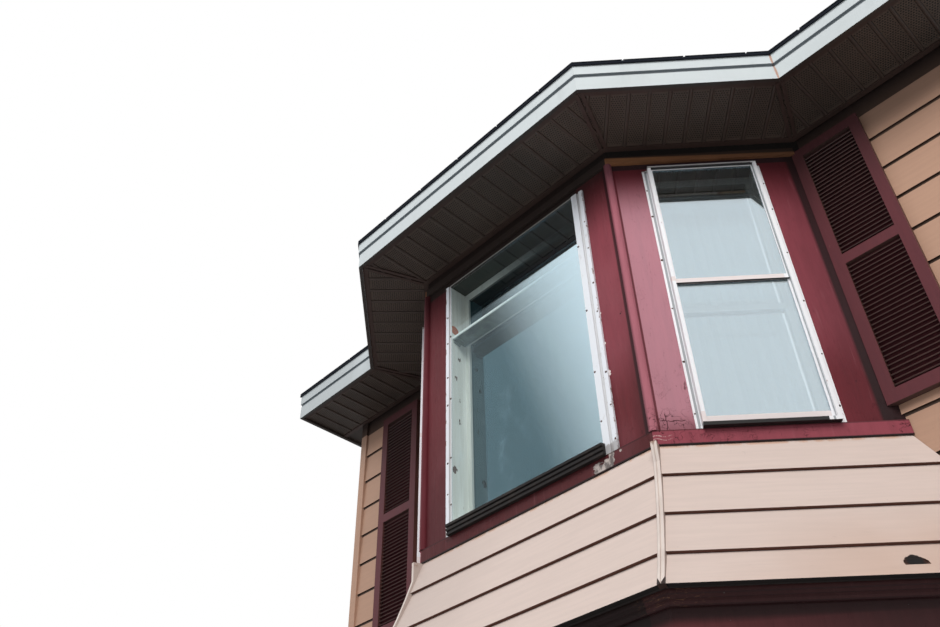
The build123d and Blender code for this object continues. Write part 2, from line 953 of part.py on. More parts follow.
soffit_top = soffit_level + soffit_thickness
soffit_section = oblong(clearance, fascia_back - clearance, soffit_level, soffit_top)
soffit_pieces = []
end_boards = []
for side in (-1, 1):
    board_outside = eave_ends[side] - clearance / 2
    board_inside = board_outside - fascia_thickness
    end_soffit = [
        (side * (wall_ends[side] + clearance), wall_face),
        (side * (board_inside - clearance), wall_face),
        (side * (board_inside - clearance), 0),
        (side * (wall_ends[side] + clearance), 0),
    ]
    soffit_pieces.append(prism(end_soffit, soffit_level, soffit_thickness))
    run = wall_run(side, board_inside - clearance)
    soffit_pieces.append(mitred(run, soffit_section))
    with BuildPart() as end_board:
        board_front = fascia_back - clearance
        with BuildSketch(Plane(origin=(side * board_inside, 0, 0), x_dir=(0, 1, 0), z_dir=(1, 0, 0))):
            with BuildLine():
                Polyline(
                    (0, eave),
                    (wall_face - board_front, eave),
                    (wall_face - board_front, roof_under(board_front) - clearance),
                    (0, roof_under(-wall_thickness) - clearance),
                    close=True,
                )
            make_face()
        extrude(amount=side * fascia_thickness)
    end_boards.append(end_board.part)
soffit_pieces += [mitred(run, soffit_section) for run in bay_runs]
save("soffit", *soffit_pieces)
save("eave_end_boards", *end_boards)

# Roof, one slab to each length of wall, meeting in hips and valleys
roof_section = [
    (roof_reach, roof_under(roof_reach)),
    (-bay_depth - 2 * wall_thickness, roof_under(-bay_depth - 2 * wall_thickness)),
    (-bay_depth - 2 * wall_thickness, roof_under(-bay_depth - 2 * wall_thickness) + roof_thickness),
    (roof_reach, roof_under(roof_reach) + roof_thickness),
]
roof_runs = (
    wall_run(-1, eave_ends[-1] + roof_edge_projection),
    *bay_runs,
    wall_run(1, eave_ends[1] + roof_edge_projection),
)
for run in roof_runs:
    save(f"roof_{run.name}", mitred(run, roof_section, back=0))
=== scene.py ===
"""Bay window under a wide eave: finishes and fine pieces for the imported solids.

Laid out as an add-on for Blender 4.5 and run as a script. X runs along the house wall, Y into the
house and Z up, in metres, as in the solids. Panels, ribs, shingles, nails, curtains, the bracket of
the shelf and the inner panes are made here.
"""

import math
import random

import bmesh
import bpy
from mathutils import Matrix, Vector


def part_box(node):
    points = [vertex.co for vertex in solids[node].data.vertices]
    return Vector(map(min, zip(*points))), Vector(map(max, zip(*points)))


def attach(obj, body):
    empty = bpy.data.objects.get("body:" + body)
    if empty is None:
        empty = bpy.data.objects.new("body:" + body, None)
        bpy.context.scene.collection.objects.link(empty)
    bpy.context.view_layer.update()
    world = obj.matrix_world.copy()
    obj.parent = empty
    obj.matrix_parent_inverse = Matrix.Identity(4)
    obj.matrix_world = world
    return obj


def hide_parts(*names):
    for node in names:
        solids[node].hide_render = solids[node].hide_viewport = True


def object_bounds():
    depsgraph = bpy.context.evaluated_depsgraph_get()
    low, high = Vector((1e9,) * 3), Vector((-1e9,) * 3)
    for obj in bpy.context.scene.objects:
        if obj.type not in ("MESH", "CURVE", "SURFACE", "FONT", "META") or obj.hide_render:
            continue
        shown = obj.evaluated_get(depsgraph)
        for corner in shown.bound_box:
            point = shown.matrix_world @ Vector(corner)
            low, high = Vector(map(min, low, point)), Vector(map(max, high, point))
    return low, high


bl_info = {
    "name": "Bay Window",
    "version": (1, 0, 0),
    "blender": (4, 5, 0),
    "location": "View3D > Sidebar > Bay Window",
    "description": "Finishes and fine pieces of a bay window with shutters and a lapped apron",
    "category": "Add Mesh",
}

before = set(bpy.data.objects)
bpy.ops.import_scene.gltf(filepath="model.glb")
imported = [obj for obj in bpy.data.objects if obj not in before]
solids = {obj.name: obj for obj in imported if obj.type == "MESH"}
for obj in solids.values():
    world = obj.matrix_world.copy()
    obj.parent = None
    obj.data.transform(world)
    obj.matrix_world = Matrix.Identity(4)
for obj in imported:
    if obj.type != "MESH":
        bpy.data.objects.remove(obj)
cad_box = [list(corner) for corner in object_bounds()]


def level(node, end):
    """The level of a node's foot, 0, or its head, 1, to a millimetre."""
    return round(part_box(node)[end].z, 3)


# The plan of the bay: its side walls turn back from its front by TURN, and a run that stands off the
# wall by o grows at an outer corner by o times MITRE.
TURN = math.radians(43)
MITRE = math.tan(TURN / 2)
HALF_FRONT = 0.6875
BAY_FACE = round(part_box("bay_wall_front")[0].y, 3)
WALL_FACE = -0.150
CANT = (WALL_FACE - BAY_FACE) / math.sin(TURN)
INNER = HALF_FRONT + (WALL_FACE - BAY_FACE) / math.tan(TURN)

# Levels, from the ground up
BAND_FOOT = level("sill_bands", 0)
WINDOW_FOOT = level("front_frame", 0)
SHELF_FOOT = level("front_transom", 0)
SIDE_HEAD = level("side_frames", 1)
FRONT_HEAD = level("front_frame", 1)
STRIP_HEAD = level("head_strips", 1)
SOFFIT = level("soffit", 0)

# The front window's opening has its middle at FRONT_MIDDLE, as its frame is wider at the right, and the
# middle of a side window is CANT_MIDDLE from the bay's front corner.
FRONT_MIDDLE = -0.0175
CANT_MIDDLE = 0.461

# The eave and the roof: the eave stands SOFFIT_REACH off the walls and the roof's edge ROOF_REACH. The
# main slopes run ROOF_OVERHANG past the eave's ends, and the side slopes SIDE_SLOPE_DEPTH back from
# their walls.
SOFFIT_REACH = BAY_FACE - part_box("soffit")[0].y
ROOF_REACH = BAY_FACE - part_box("roof_front")[0].y
DECK_THICK = 0.018
ROOF_TOP = level("roof_front", 0) + DECK_THICK
ROOF_SLOPE = 1 / 3
ROOF_ENDS = (cad_box[0][0], cad_box[1][0])
ROOF_OVERHANG = 0.012
SIDE_SLOPE_DEPTH = 0.86

# The siding: where the courses of the house wall and of the apron lap, and how far each lap's shade falls
WALL_LAP, WALL_COURSE, WALL_LAP_SHADE = 2.219, 0.2032, 0.012
WALL_FRIEZE = 2.392
APRON_LAPS, APRON_LAP_SHADE = (0.5400, 0.3429, 0.1518), 0.0060


class Run:
    """A straight stretch of wall: s along its face from the left corner, o outwards.

    Its ends follow the bay's corners, so both move with o: left_lean and right_lean say how much.
    """

    def __init__(self, left, heading, length, left_lean, right_lean, slope_depth):
        self.left = Vector((*left, 0))
        self.along = Vector((math.cos(heading), math.sin(heading), 0))
        self.out = Vector((self.along.y, -self.along.x, 0))
        self.length, self.slope_depth = length, slope_depth
        self.left_lean, self.right_lean = left_lean, right_lean

    def at(self, s, o, z):
        """The point at s along, o outwards and level z."""
        return self.left + self.along * s + self.out * o + Vector((0, 0, z))

    def ends(self, o):
        """The first and last s at an offset."""
        return -o * self.left_lean, self.length + o * self.right_lean

    def span(self, near, far):
        """The lowest and the highest s anywhere between two offsets."""
        starts, ends = zip(self.ends(near), self.ends(far))
        return min(starts), max(ends)

    def reach(self, s, near, far, least=0.02):
        """The stretch of offsets from near to far that lies between both mitres at s, or None if short."""
        for lean, beyond in ((self.left_lean, -s), (self.right_lean, s - self.length)):
            if lean > 0:
                near = max(near, beyond / lean)
            elif lean < 0:
                far = min(far, beyond / lean)
            elif beyond > 0:
                return None
        return (near, far) if far - near > least else None


LEFT_END, RIGHT_END = ROOF_ENDS[0] + ROOF_OVERHANG, ROOF_ENDS[1] - ROOF_OVERHANG
MAIN_LEFT = Run((LEFT_END, WALL_FACE), 0, -INNER - LEFT_END, 0, -MITRE, -WALL_FACE)
LEFT = Run((-INNER, WALL_FACE), -TURN, CANT, -MITRE, MITRE, SIDE_SLOPE_DEPTH)
FRONT = Run((-HALF_FRONT, BAY_FACE), 0, 2 * HALF_FRONT, MITRE, MITRE, -BAY_FACE)
RIGHT = Run((HALF_FRONT, BAY_FACE), TURN, CANT, MITRE, -MITRE, SIDE_SLOPE_DEPTH)
MAIN_RIGHT = Run((INNER, WALL_FACE), 0, RIGHT_END - INNER, -MITRE, 0, -WALL_FACE)
RUNS = (MAIN_LEFT, LEFT, FRONT, RIGHT, MAIN_RIGHT)


def window_middle(run):
    """Where the middle of a side window lies along its run."""
    return CANT_MIDDLE if run is RIGHT else run.length - CANT_MIDDLE


def shade(red, green, blue):
    """A colour written as 0 to 255 on a screen, as the linear one that a shader takes."""
    linear = [(v / 255 / 12.92) if v < 10 else ((v / 255 + 0.055) / 1.055) ** 2.4 for v in (red, green, blue)]
    return (*linear, 1.0)


def dimmed(tone, share):
    """A screen colour at a share of its strength."""
    return tuple(v * share for v in tone)


class Value:
    """What a shader socket gives. Arithmetic on it adds the Math nodes that work it out."""

    def __init__(self, finish, socket):
        self.finish, self.socket = finish, socket

    def maths(self, operation, *terms):
        return self.finish.node("ShaderNodeMath", {"operation": operation}, dict(enumerate(terms)))

    def __add__(self, other):
        return self.maths("ADD", self, other)

    def __radd__(self, other):
        return self.maths("ADD", other, self)

    def __sub__(self, other):
        return self.maths("SUBTRACT", self, other)

    def __rsub__(self, other):
        return self.maths("SUBTRACT", other, self)

    def __mul__(self, other):
        return self.maths("MULTIPLY", self, other)

    def __rmul__(self, other):
        return self.maths("MULTIPLY", other, self)

    def __truediv__(self, other):
        return self.maths("DIVIDE", self, other)

    def __mod__(self, other):
        return self.maths("FLOORED_MODULO", self, other)

    def __abs__(self):
        return self.maths("ABSOLUTE", self)

    def floor(self):
        """The whole number at or below."""
        return self.maths("FLOOR", self)

    def root(self):
        """The square root."""
        return self.maths("SQRT", self)

    def low(self, other):
        """The smaller of two."""
        return self.maths("MINIMUM", self, other)

    def high(self, other):
        """The larger of two."""
        return self.maths("MAXIMUM", self, other)

    def rise(self, start, end):
        """0 up to start, 1 from end, smooth between them; start may be the larger."""
        sockets = {"Value": self, "From Min": start, "From Max": end, "To Min": 0.0, "To Max": 1.0}
        return self.finish.node("ShaderNodeMapRange", {"interpolation_type": "SMOOTHSTEP"}, sockets)

    def within(self, low, high, soft):
        """1 between low and high, fading to 0 over soft outside them."""
        return self.rise(low - soft, low) * self.rise(high + soft, high)

    def parts(self):
        """The three parts of a vector."""
        split = self.finish.node("ShaderNodeSeparateXYZ", {}, {0: self}, None)
        return [Value(self.finish, socket) for socket in split.outputs]


class Tree:
    """A tree of shader nodes that ends in one output."""

    def __init__(self, owner):
        owner.use_nodes = True
        self.tree = owner.node_tree
        self.tree.nodes.clear()

    def node(self, kind, settings, sockets, output=0):
        """Adds a node: its settings first, then a value or a link for each socket named."""
        made = self.tree.nodes.new(kind)
        for name, setting in settings.items():
            setattr(made, name, setting)
        for name, value in sockets.items():
            if isinstance(value, Value):
                self.tree.links.new(value.socket, made.inputs[name])
            else:
                made.inputs[name].default_value = value
        return made if output is None else Value(self, made.outputs[output])


class Finish(Tree):
    """A material being made: its colour is laid on coat by coat, and it ends in one surface.

    A colour is three numbers from 0 to 255, as on a screen, or the Value of a colour already mixed.
    """

    def __init__(self, name):
        self.material = bpy.data.materials.new(name)
        super().__init__(self.material)
        self.place = self.node("ShaderNodeTexCoord", {}, {}, "Object")
        self.x, self.y, self.z = self.place.parts()
        self.face_x, self.face_y, self.face_z = self.node("ShaderNodeNewGeometry", {}, {}, "Normal").parts()
        self.colour = None

    def own_map(self):
        """The two coordinates of the piece's own map, in metres."""
        return self.node("ShaderNodeTexCoord", {}, {}, "UV").parts()[:2]

    def stretched(self, x, y, z):
        """Object coordinates scaled on each axis."""
        return self.node("ShaderNodeVectorMath", {"operation": "MULTIPLY"}, {0: self.place, 1: (x, y, z)})

    def noise(self, scale, detail=4.0, roughness=0.55, stretch=(1, 1, 1), shift=0.0):
        """Cloudy values from 0 to 1 about 0.5."""
        moved = self.node("ShaderNodeVectorMath", {"operation": "ADD"},
                          {0: self.stretched(*stretch), 1: (shift, shift * 0.7, shift * 1.3)})
        sockets = {"Vector": moved, "Scale": scale, "Detail": detail, "Roughness": roughness}
        return self.node("ShaderNodeTexNoise", {"normalize": True}, sockets)

    def patches(self, scale, stretch):
        """A value for each patch of a field of cells."""
        sockets = {"Vector": self.stretched(*stretch), "Scale": scale}
        return self.node("ShaderNodeTexVoronoi", {"feature": "F1"}, sockets, "Color").parts()[0]

    def cracked(self, scale, stretch, bend):
        """Distance to the nearest of a field of crooked cracks."""
        crook = self.node("ShaderNodeTexNoise", {"normalize": False},
                          {"Vector": self.place, "Scale": 24.0, "Detail": 4.0}, "Color")
        bent = self.node("ShaderNodeVectorMath", {"operation": "MULTIPLY_ADD"},
                         {0: crook, 1: (bend, bend, bend), 2: self.stretched(*stretch)})
        sockets = {"Vector": bent, "Scale": scale}
        return self.node("ShaderNodeTexVoronoi", {"feature": "DISTANCE_TO_EDGE"}, sockets)

    def near(self, point, radius, soft):
        """1 within radius of a point, fading over soft."""
        away = self.node("ShaderNodeVectorMath", {"operation": "DISTANCE"}, {0: self.place, 1: point}, 1)
        return away.rise(radius + soft, radius)

    def spotted(self, spots):
        """1 on any of some round spots, each with its point, its radius and how far it fades."""
        shown = [self.near(*spot) for spot in spots]
        both = shown[0]
        for spot in shown[1:]:
            both = both.high(spot)
        return both

    def facing(self, x, y, z, start=0.35, end=0.6):
        """1 where the surface faces a direction."""
        toward = self.face_x * x + self.face_y * y + self.face_z * z
        return toward.rise(start, end)

    def mix(self, factor, first, second):
        """The first colour where factor is 0, the second where it is 1."""
        first, second = (c if isinstance(c, Value) else shade(*c) for c in (first, second))
        settings = {"data_type": "RGBA", "clamp_factor": True}
        return self.node("ShaderNodeMix", settings, {0: factor, 6: first, 7: second}, 2)

    def coat(self, mask, colour):
        """Lays a colour over the finish where the mask is 1."""
        self.colour = self.mix(mask, self.colour, colour)

    def bumped(self, height, depth):
        """A normal roughened by a height from 0 to 1 that stands for depth metres."""
        return self.node("ShaderNodeBump", {}, {"Strength": 1.0, "Distance": depth, "Height": height})

    def surface(self, roughness, height, depth, **constants):
        """Ends the finish in one Principled surface, bumped by a height that stands for depth metres."""
        sockets = {"Base Color": self.colour, "Roughness": roughness, "Normal": self.bumped(height, depth)}
        sockets.update({name.replace("_", " "): value for name, value in constants.items()})
        return self.ended(self.node("ShaderNodeBsdfPrincipled", {}, sockets))

    def ended(self, shader):
        """Ends the finish in a shader and gives the material."""
        self.node("ShaderNodeOutputMaterial", {}, {"Surface": shader}, None)
        return self.material


def behind_bay(f):
    """How far a point lies behind the bay's outer faces."""
    back = f.y - BAY_FACE
    side = back * math.cos(TURN) - (abs(f.x) - HALF_FRONT) * math.sin(TURN)
    return back.low(side)


def down_cant(f):
    """1 on the side walls of the bay and 0 on its front, and the distance from the front corner."""
    out = abs(f.x) - HALF_FRONT
    return out.rise(-0.0010, 0.0010), out / math.cos(TURN)


# A dark red-brown laid both as real dirt and as painted shade.
DIRT_AND_SHADE = (34, 20, 21)
# The red on the bay's front and on its side walls, for each part that is painted; for the band, the low
# boards and the skirt the side walls' red is painted lighter, as painted light.
RED_TONES = {
    "wall": ((101, 38, 44), (110, 41, 49)),
    "bead": ((176, 106, 118), (176, 106, 118)),
    "band": ((80, 31, 34), (148, 72, 83)),
    "low": ((42, 30, 29), (70, 42, 42)),
    "skirt": ((58, 36, 36), (104, 56, 58)),
}
BAND_FACE = round(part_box("sill_bands")[0].y, 3)
# Places on the bay's front where the paint has gone: x, z, radius and how far each fades
PEELED = ((0.412, 0.714, 0.010, 0.055), (0.462, 0.722, 0.010, 0.045),
          (0.478, 0.758, 0.006, 0.030), (0.527, 0.751, 0.001, 0.012))
WHITE_SPOTS = ((0.516, 1.161, 0.009, 0.006), (0.520, 1.148, 0.005, 0.006),
               (0.516, 1.321, 0.006, 0.006), (0.515, 1.499, 0.005, 0.006))
NICKS = ((0.622, 1.430, 0.003, 0.004), (0.628, 1.436, 0.002, 0.003))
# The middle of the crown's worn edge
WORN_CROWN = (0.76, -0.99, 0.005)


def on_face(y, places):
    """Spots given by x, z, radius and fade, set on the upright face at y."""
    return [((x, y, z), radius, soft) for x, z, radius, soft in places]


def wall_painted_light(f, on_cant, along, streaks):
    """The bay's wall: a painted lit patch right of the front window, chalky paint on the side walls, and
    painted shade under the eave, towards the front's left and foot, beside the front corner and in the side
    walls' inner corners.
    """
    # Painted light: a paler patch on the front, right of its window.
    f.coat(f.x.rise(0.30, 0.52) * f.z.within(1.35, 1.95, 0.40), (138, 66, 76))
    chalk = on_cant * along.rise(0.20, 0.168) * f.z.rise(2.34, 1.98) * (f.z.rise(0.77, 0.88) * 0.5 + 0.5)
    f.coat(chalk * (streaks * 0.5 + 0.62).low(1.0), (196, 140, 152))
    # Painted shade under the eave, stronger on the front.
    f.coat(f.z.rise(1.95, 2.42) * (0.55 - on_cant * 0.30), DIRT_AND_SHADE)
    # Painted shade towards the front's left, more of it low down.
    f.coat(f.x.rise(-0.4, -0.5) * (f.z.rise(1.5, 0.8) * 0.32 + 0.08), DIRT_AND_SHADE)
    # Painted shade beside the front corner, widening downwards.
    f.coat((1.0 - on_cant) * f.x.rise(0.585, 0.668) * f.z.rise(1.7, 0.8) * 0.45, DIRT_AND_SHADE)
    # Painted shade in the side walls' inner corners.
    f.coat(on_cant * along.rise(0.70, 0.90) * 0.28, DIRT_AND_SHADE)


def bead_painted_shade(f):
    """The round corner beads: paler low down, with painted shade on the half turned from the light, painted
    shadow lines where they meet the walls, the left bead painted in shade, and painted shade under the eave.
    """
    f.coat(f.z.rise(1.1, 0.8) * 0.2, (200, 132, 142))
    # Painted shade on the half of each bead turned from the light.
    f.coat(f.face_x.rise(0.15, -0.55) * 0.55, (92, 34, 44))
    # Painted shadow line where a bead turns into the side wall.
    f.coat(f.facing(math.cos(TURN), math.sin(TURN), 0, 0.86, 0.93), (108, 34, 45))
    # Painted shadow line where the right bead meets the front.
    f.coat(f.face_x.rise(-0.72, -0.80) * f.x.rise(0.0, 0.1), (48, 18, 23))
    # Painted shade: the left bead darker than the right.
    f.coat(f.x.rise(0.0, -0.1) * f.x.rise(-0.6930, -0.6900), (94, 36, 43))
    # Painted shade under the eave.
    f.coat(f.z.rise(2.0, 2.38) * 0.55, DIRT_AND_SHADE)


def red_cracks(f, on_cant, low_down, corner):
    """Fine crooked cracks, most of them low down and at the foot of the front corner."""
    crack = f.cracked(11, (1, 1, 0.55), 0.05)
    broken = f.noise(7, 3, 0.6, (1, 1, 1), 2.0).rise(0.50, 0.60)
    return crack.rise(0.020, 0.006) * (broken * (low_down * 0.6 + 0.05 + on_cant * 0.12)).high(corner * 0.9)


def front_spots(f, chip_field):
    """White filler showing through the paint of the front, and two dark nicks."""
    white = f.spotted(on_face(BAY_FACE, WHITE_SPOTS))
    f.coat((chip_field * 0.5 + white).rise(1.12, 1.2), (232, 218, 214))
    nicks = f.spotted(on_face(BAY_FACE, NICKS))
    f.coat((chip_field * 0.4 + nicks).rise(1.05, 1.15), (44, 18, 20))


def crown_marks(f):
    """One edge of the crown, worn back to brown."""
    worn = f.noise(50, 4, 0.7, (1, 1, 6.0), 4.0).rise(0.56, 0.66)
    f.coat(f.near(WORN_CROWN, 0.05, 0.12) * worn * 0.5, (150, 112, 84))


def skirt_marks(f):
    """Darker on the skirt boards: painted shadow just under the crown, and darker towards the right."""
    f.coat((f.z.rise(-0.108, -0.068) * 0.85).high(f.x.rise(0.75, 1.35) * 0.72), (32, 24, 24))


def wall_marks(f, on_cant, along, chip_field):
    """Marks on the bay's wall: dark lines beside the bead with painted shadow, a split and peeling at the
    corner, and painted shade above the side windows, by the shutter, over the head strip and under the eave.
    """
    on_front = 1.0 - on_cant
    # The dark gap beside the bead on the front, widened by painted shadow.
    f.coat(f.x.within(HALF_FRONT - 0.0345, HALF_FRONT - 0.0175, 0.008) * on_front * 0.88, (40, 14, 18))
    # The dark groove beside the bead on the side wall, with painted shadow.
    f.coat(on_cant * along.within(0.013, 0.0275, 0.0020) * 0.9, (88, 28, 36))
    wander = f.noise(34, 3, 0.65, (1, 1, 0.15), 2.0) * 0.030
    split = abs(f.z - wander - 0.799).rise(0.0030, 0.0012) * along.within(0.040, 0.128, 0.008)
    wander = f.noise(30, 3, 0.6, (0.15, 0.15, 1)) * 0.020
    drop = abs(along - wander - 0.047).rise(0.0026, 0.0012) * f.z.within(0.775, 0.850, 0.006)
    f.coat(split.high(drop) * on_cant * 0.85, (58, 18, 26))
    peeled = (chip_field + along.within(0.156, 0.175, 0.008) * 0.12).rise(0.68, 0.71)
    f.coat(peeled * f.z.rise(1.20, 0.95) * on_cant * 0.7, (70, 24, 32))
    # Painted shade on the side walls just above their windows' heads.
    f.coat(on_cant * f.z.rise(SIDE_HEAD + 0.018, SIDE_HEAD + 0.027) * 0.88, (34, 27, 30))
    # Painted shade in the inner corner by the shutter.
    f.coat(on_cant * along.rise(0.886, 0.906) * 0.92, (32, 21, 22))
    # Painted shade on the wall above the head strip, under the soffit.
    f.coat(f.z.rise(STRIP_HEAD - 0.010, STRIP_HEAD + 0.005), (30, 27, 26))
    # Painted shade high on the front and just over its window's head.
    over_head = f.z.rise(FRONT_HEAD - 0.004, FRONT_HEAD + 0.001) * f.x.rise(0.50, 0.46)
    f.coat((f.z.rise(2.30, 2.37) * 0.45).high(over_head) * on_front, (38, 29, 27))


def band_marks(f, on_cant, along, runs):
    """Marks on the sill band: painted shadow along its foot and painted shade along its head, and two pale
    splits near the front corner.
    """
    # Painted shadow along the band's foot.
    f.coat(f.z.rise(BAND_FOOT + 0.0085, BAND_FOOT + 0.0040), (30, 20, 20))
    # Painted shade on the band just under the windows.
    f.coat(f.z.rise(WINDOW_FOOT - 0.008, WINDOW_FOOT - 0.003) * 0.6, DIRT_AND_SHADE)
    wander = f.noise(14, 2, 0.5, (1, 1, 0.1), 3.0) * 0.040
    upper = abs(f.z - wander - 0.723).rise(0.0032, 0.0014)
    lower = abs(f.z - wander * 1.3 - 0.703).rise(0.0026, 0.0012)
    split = upper.high(lower) * on_cant * along.rise(0.085, 0.055) * runs.rise(0.40, 0.55)
    f.coat(split * 0.75, (214, 182, 178))


# The layers of the bay's wall, by the depth behind its face where each ends
CASING_BACK, BAY_STUD_BACK = 0.0115, 0.1375


def cut_layers(f):
    """Timber and then plaster where the bay's wall is cut through; gives how much is timber."""
    depth = behind_bay(f)
    timber = depth.rise(CASING_BACK - 0.0015, CASING_BACK + 0.0015)
    f.coat(timber, f.mix(f.noise(18, 5, 0.6, (1, 1, 0.08)), (176, 140, 100), (206, 174, 132)))
    lining = depth.rise(BAY_STUD_BACK - 0.0015, BAY_STUD_BACK + 0.0015)
    f.coat(lining, f.mix(f.noise(6, 4, 0.5), (214, 208, 198), (228, 223, 214)))
    return timber


def red_paint(name, part):
    """Old dull red gloss: streaks, dents, fine cracks and chips, chalky on the side walls, with painted light
    and shade on the wall and beads and painted shade on faces turned down.
    """
    f = Finish(name)
    on_cant, along = down_cant(f)
    low = part in ("low", "skirt")
    streaks = f.noise(9, 6, 0.68, (3.2, 3.2, 0.35))
    runs = f.noise(26, 4, 0.7, (1.6, 1.6, 0.10), 7.0)
    clouds = f.noise(2.6, 3, 0.5, (1, 1, 0.7), 4.0)
    fine = f.noise(90, 3, 0.6, (1, 1, 0.25))
    f.colour = f.mix(on_cant, *RED_TONES[part])
    if part == "wall":
        wall_painted_light(f, on_cant, along, streaks)
    if part == "bead":
        bead_painted_shade(f)
    ground = f.colour
    f.coat(streaks.rise(0.35, 0.70) * 0.7, f.mix(0.22, ground, DIRT_AND_SHADE))
    f.coat(runs.rise(0.55, 0.72) * 0.35, f.mix(0.35, ground, DIRT_AND_SHADE))
    f.coat(runs.rise(0.42, 0.30) * (0.03 if low else 0.10), (186, 128, 134))
    f.coat(clouds.rise(0.48, 0.72) * 0.12, DIRT_AND_SHADE if low else (168, 108, 116))
    f.coat(fine.rise(0.62, 0.75) * 0.22, DIRT_AND_SHADE)
    if part == "skirt":
        skirt_marks(f)
    if part == "low":
        crown_marks(f)
    low_down = f.z.rise(1.02, 0.74)
    corner = on_cant * along.rise(0.21, 0.10) * f.z.rise(0.90, 0.82)
    cracks = red_cracks(f, on_cant, low_down, corner) * (0.15 if low else 1.0)
    f.coat(cracks, (52, 18, 24))
    chip_field = f.noise(34, 4, 0.7, (1, 1, 0.6), 9.0)
    chips = (chip_field + corner * 0.04).rise(0.71, 0.73) * low_down * 0.7
    peeled = f.spotted(on_face(BAND_FACE, PEELED)) * 0.46
    worn = (f.noise(22, 5, 0.72, (1, 1, 1.5), 6.0) + peeled).rise(0.80, 0.84).high(chips)
    f.coat(worn, f.mix(chip_field.rise(0.42, 0.58), (196, 184, 178), (116, 108, 106)))
    front_spots(f, chip_field)
    if part == "wall":
        wall_marks(f, on_cant, along, chip_field)
    if part == "band":
        band_marks(f, on_cant, along, runs)
    # Painted shade on faces turned down.
    f.coat(f.facing(0, 0, -1) * 0.6, (40, 22, 24))
    rough = fine * 0.2 + 0.38 + worn * 0.3
    height = streaks * 0.35 + runs * 0.30 + clouds * 0.35 + fine * 0.18 - cracks * 0.8 - worn * 0.55
    if part == "wall":
        rough = rough + cut_layers(f) * 0.25
    return f.surface(rough, height, 0.0022, Specular_IOR_Level=0.15 if low else 0.22)


def siding_ground(name, tone):
    """Painted steel siding as it was new, with faint grain along the boards, dust and specks."""
    f = Finish(name)
    grain = f.noise(7, 5, 0.55, (0.6, 0.6, 9))
    clouds = f.noise(1.4, 4, 0.55, (1, 1, 1), 3.0)
    spots = f.noise(46, 3, 0.7, (1, 1, 1), 5.0)
    f.colour = f.mix(grain.rise(0.3, 0.7), dimmed(tone, 0.975), tone)
    f.coat(clouds.rise(0.45, 0.75) * 0.5, dimmed(tone, 0.93))
    f.coat(spots.rise(0.68, 0.74) * 0.25, dimmed(tone, 0.80))
    return f, clouds, grain, spots


def siding_surface(f, grain, spots, under):
    """Grey primer on the siding's back, and the surface that all siding has."""
    f.coat(f.facing(0, 1, 0, 0.6, 0.9), (168, 164, 158))
    rough = grain * 0.16 + 0.42 + under * 0.3
    return f.surface(rough, grain * 0.5 + spots * 0.2, 0.0007, Specular_IOR_Level=0.28)


def wall_siding(name, tone, shadow, lapped):
    """The house wall's siding: painted shadow under each lap and on faces turned down, a dark frieze under
    the eave and painted shade just below it.
    """
    f, _, grain, spots = siding_ground(name, tone)
    if lapped:
        lap = WALL_COURSE - WALL_LAP_SHADE
        # Painted shadow under each course's lap.
        f.coat(((f.z - WALL_LAP) % WALL_COURSE).rise(lap - 0.001, lap) * 0.92, shadow)
    f.coat(f.z.rise(WALL_FRIEZE - 0.001, WALL_FRIEZE + 0.001), (40, 31, 29))
    # Painted shade just below the frieze.
    f.coat(f.z.within(2.33, 2.39, 0.12) * 0.30, dimmed(tone, 0.6))
    # Painted shade on faces turned down.
    under = f.facing(0, 0, -1, 0.3, 0.7)
    f.coat(under, shadow)
    return siding_surface(f, grain, spots, under)


# The hole in the apron's lip: how far its middle is from the front corner, half its width, the level
# of its foot and the level of its top, which falls by HOLE_DOME times the square of the way from the middle
HOLE_ALONG, HOLE_HALF, HOLE_FOOT, HOLE_TOP, HOLE_DOME = 0.708, 0.0405, 0.0475, 0.103, 19


def torn_lip(f):
    """The hole torn in the apron's lip on the right side: a dome with ragged edges, painted near black as the
    shade inside it, brown towards its sides.
    """
    from_corner = (f.x - HALF_FRONT) * math.cos(TURN) + (f.y - BAY_FACE) * math.sin(TURN)
    place = abs(from_corner - HOLE_ALONG)
    ragged = f.noise(60, 4, 0.75, (1, 1, 1), 3.0) * 0.0196
    below = (f.z + place * place * HOLE_DOME + ragged - HOLE_TOP).rise(0.002, -0.001)
    above = f.z.rise(HOLE_FOOT - 0.001, HOLE_FOOT + 0.001)
    beside = place.rise(HOLE_HALF + 0.001, HOLE_HALF - 0.001) * f.x.rise(0.9, 1.0)
    # Painted shade inside the hole, brown towards its sides.
    f.coat(below * above * beside, f.mix(place.rise(0.020, 0.036), (22, 18, 18), (66, 40, 32)))


def apron_siding():
    """The flared apron: painted shadow under its laps and its lip, rust under its top trim, browner at the
    lower right, and a torn hole painted dark inside.
    """
    tone, shadow = (222, 203, 194), (88, 56, 46)
    f, clouds, grain, spots = siding_ground("apron_siding_beige", tone)
    # Painted shadow under each lap.
    for lap in APRON_LAPS:
        f.coat(f.z.within(lap - APRON_LAP_SHADE, lap + 0.0004, 0.0006) * 0.9, shadow)
    runs = f.noise(22, 4, 0.6, (1, 1, 0.12), 1.0)
    rust = f.z.within(BAND_FOOT - 0.009, BAND_FOOT + 0.005, 0.010) * runs.rise(0.38, 0.62)
    f.coat(rust * f.y.rise(-0.165, -0.2) * 0.55, (200, 146, 110))
    # Browner towards the lower right.
    browner_low_right = f.x.rise(0.80, 1.4) * f.z.rise(0.45, 0.05) * clouds.rise(0.25, 0.55)
    f.coat(browner_low_right * 0.55, (202, 168, 148))
    f.coat(f.x.rise(0.0, -0.7) * 0.35, dimmed(tone, 0.80))
    torn_lip(f)
    # Painted shade on faces turned down.
    under = f.facing(0, 0, -1, 0.3, 0.7)
    f.coat(under, shadow)
    # Painted shade, darker still under the apron's lip.
    f.coat(under * f.z.rise(0.030, 0.020), (30, 26, 25))
    return siding_surface(f, grain, spots, under)


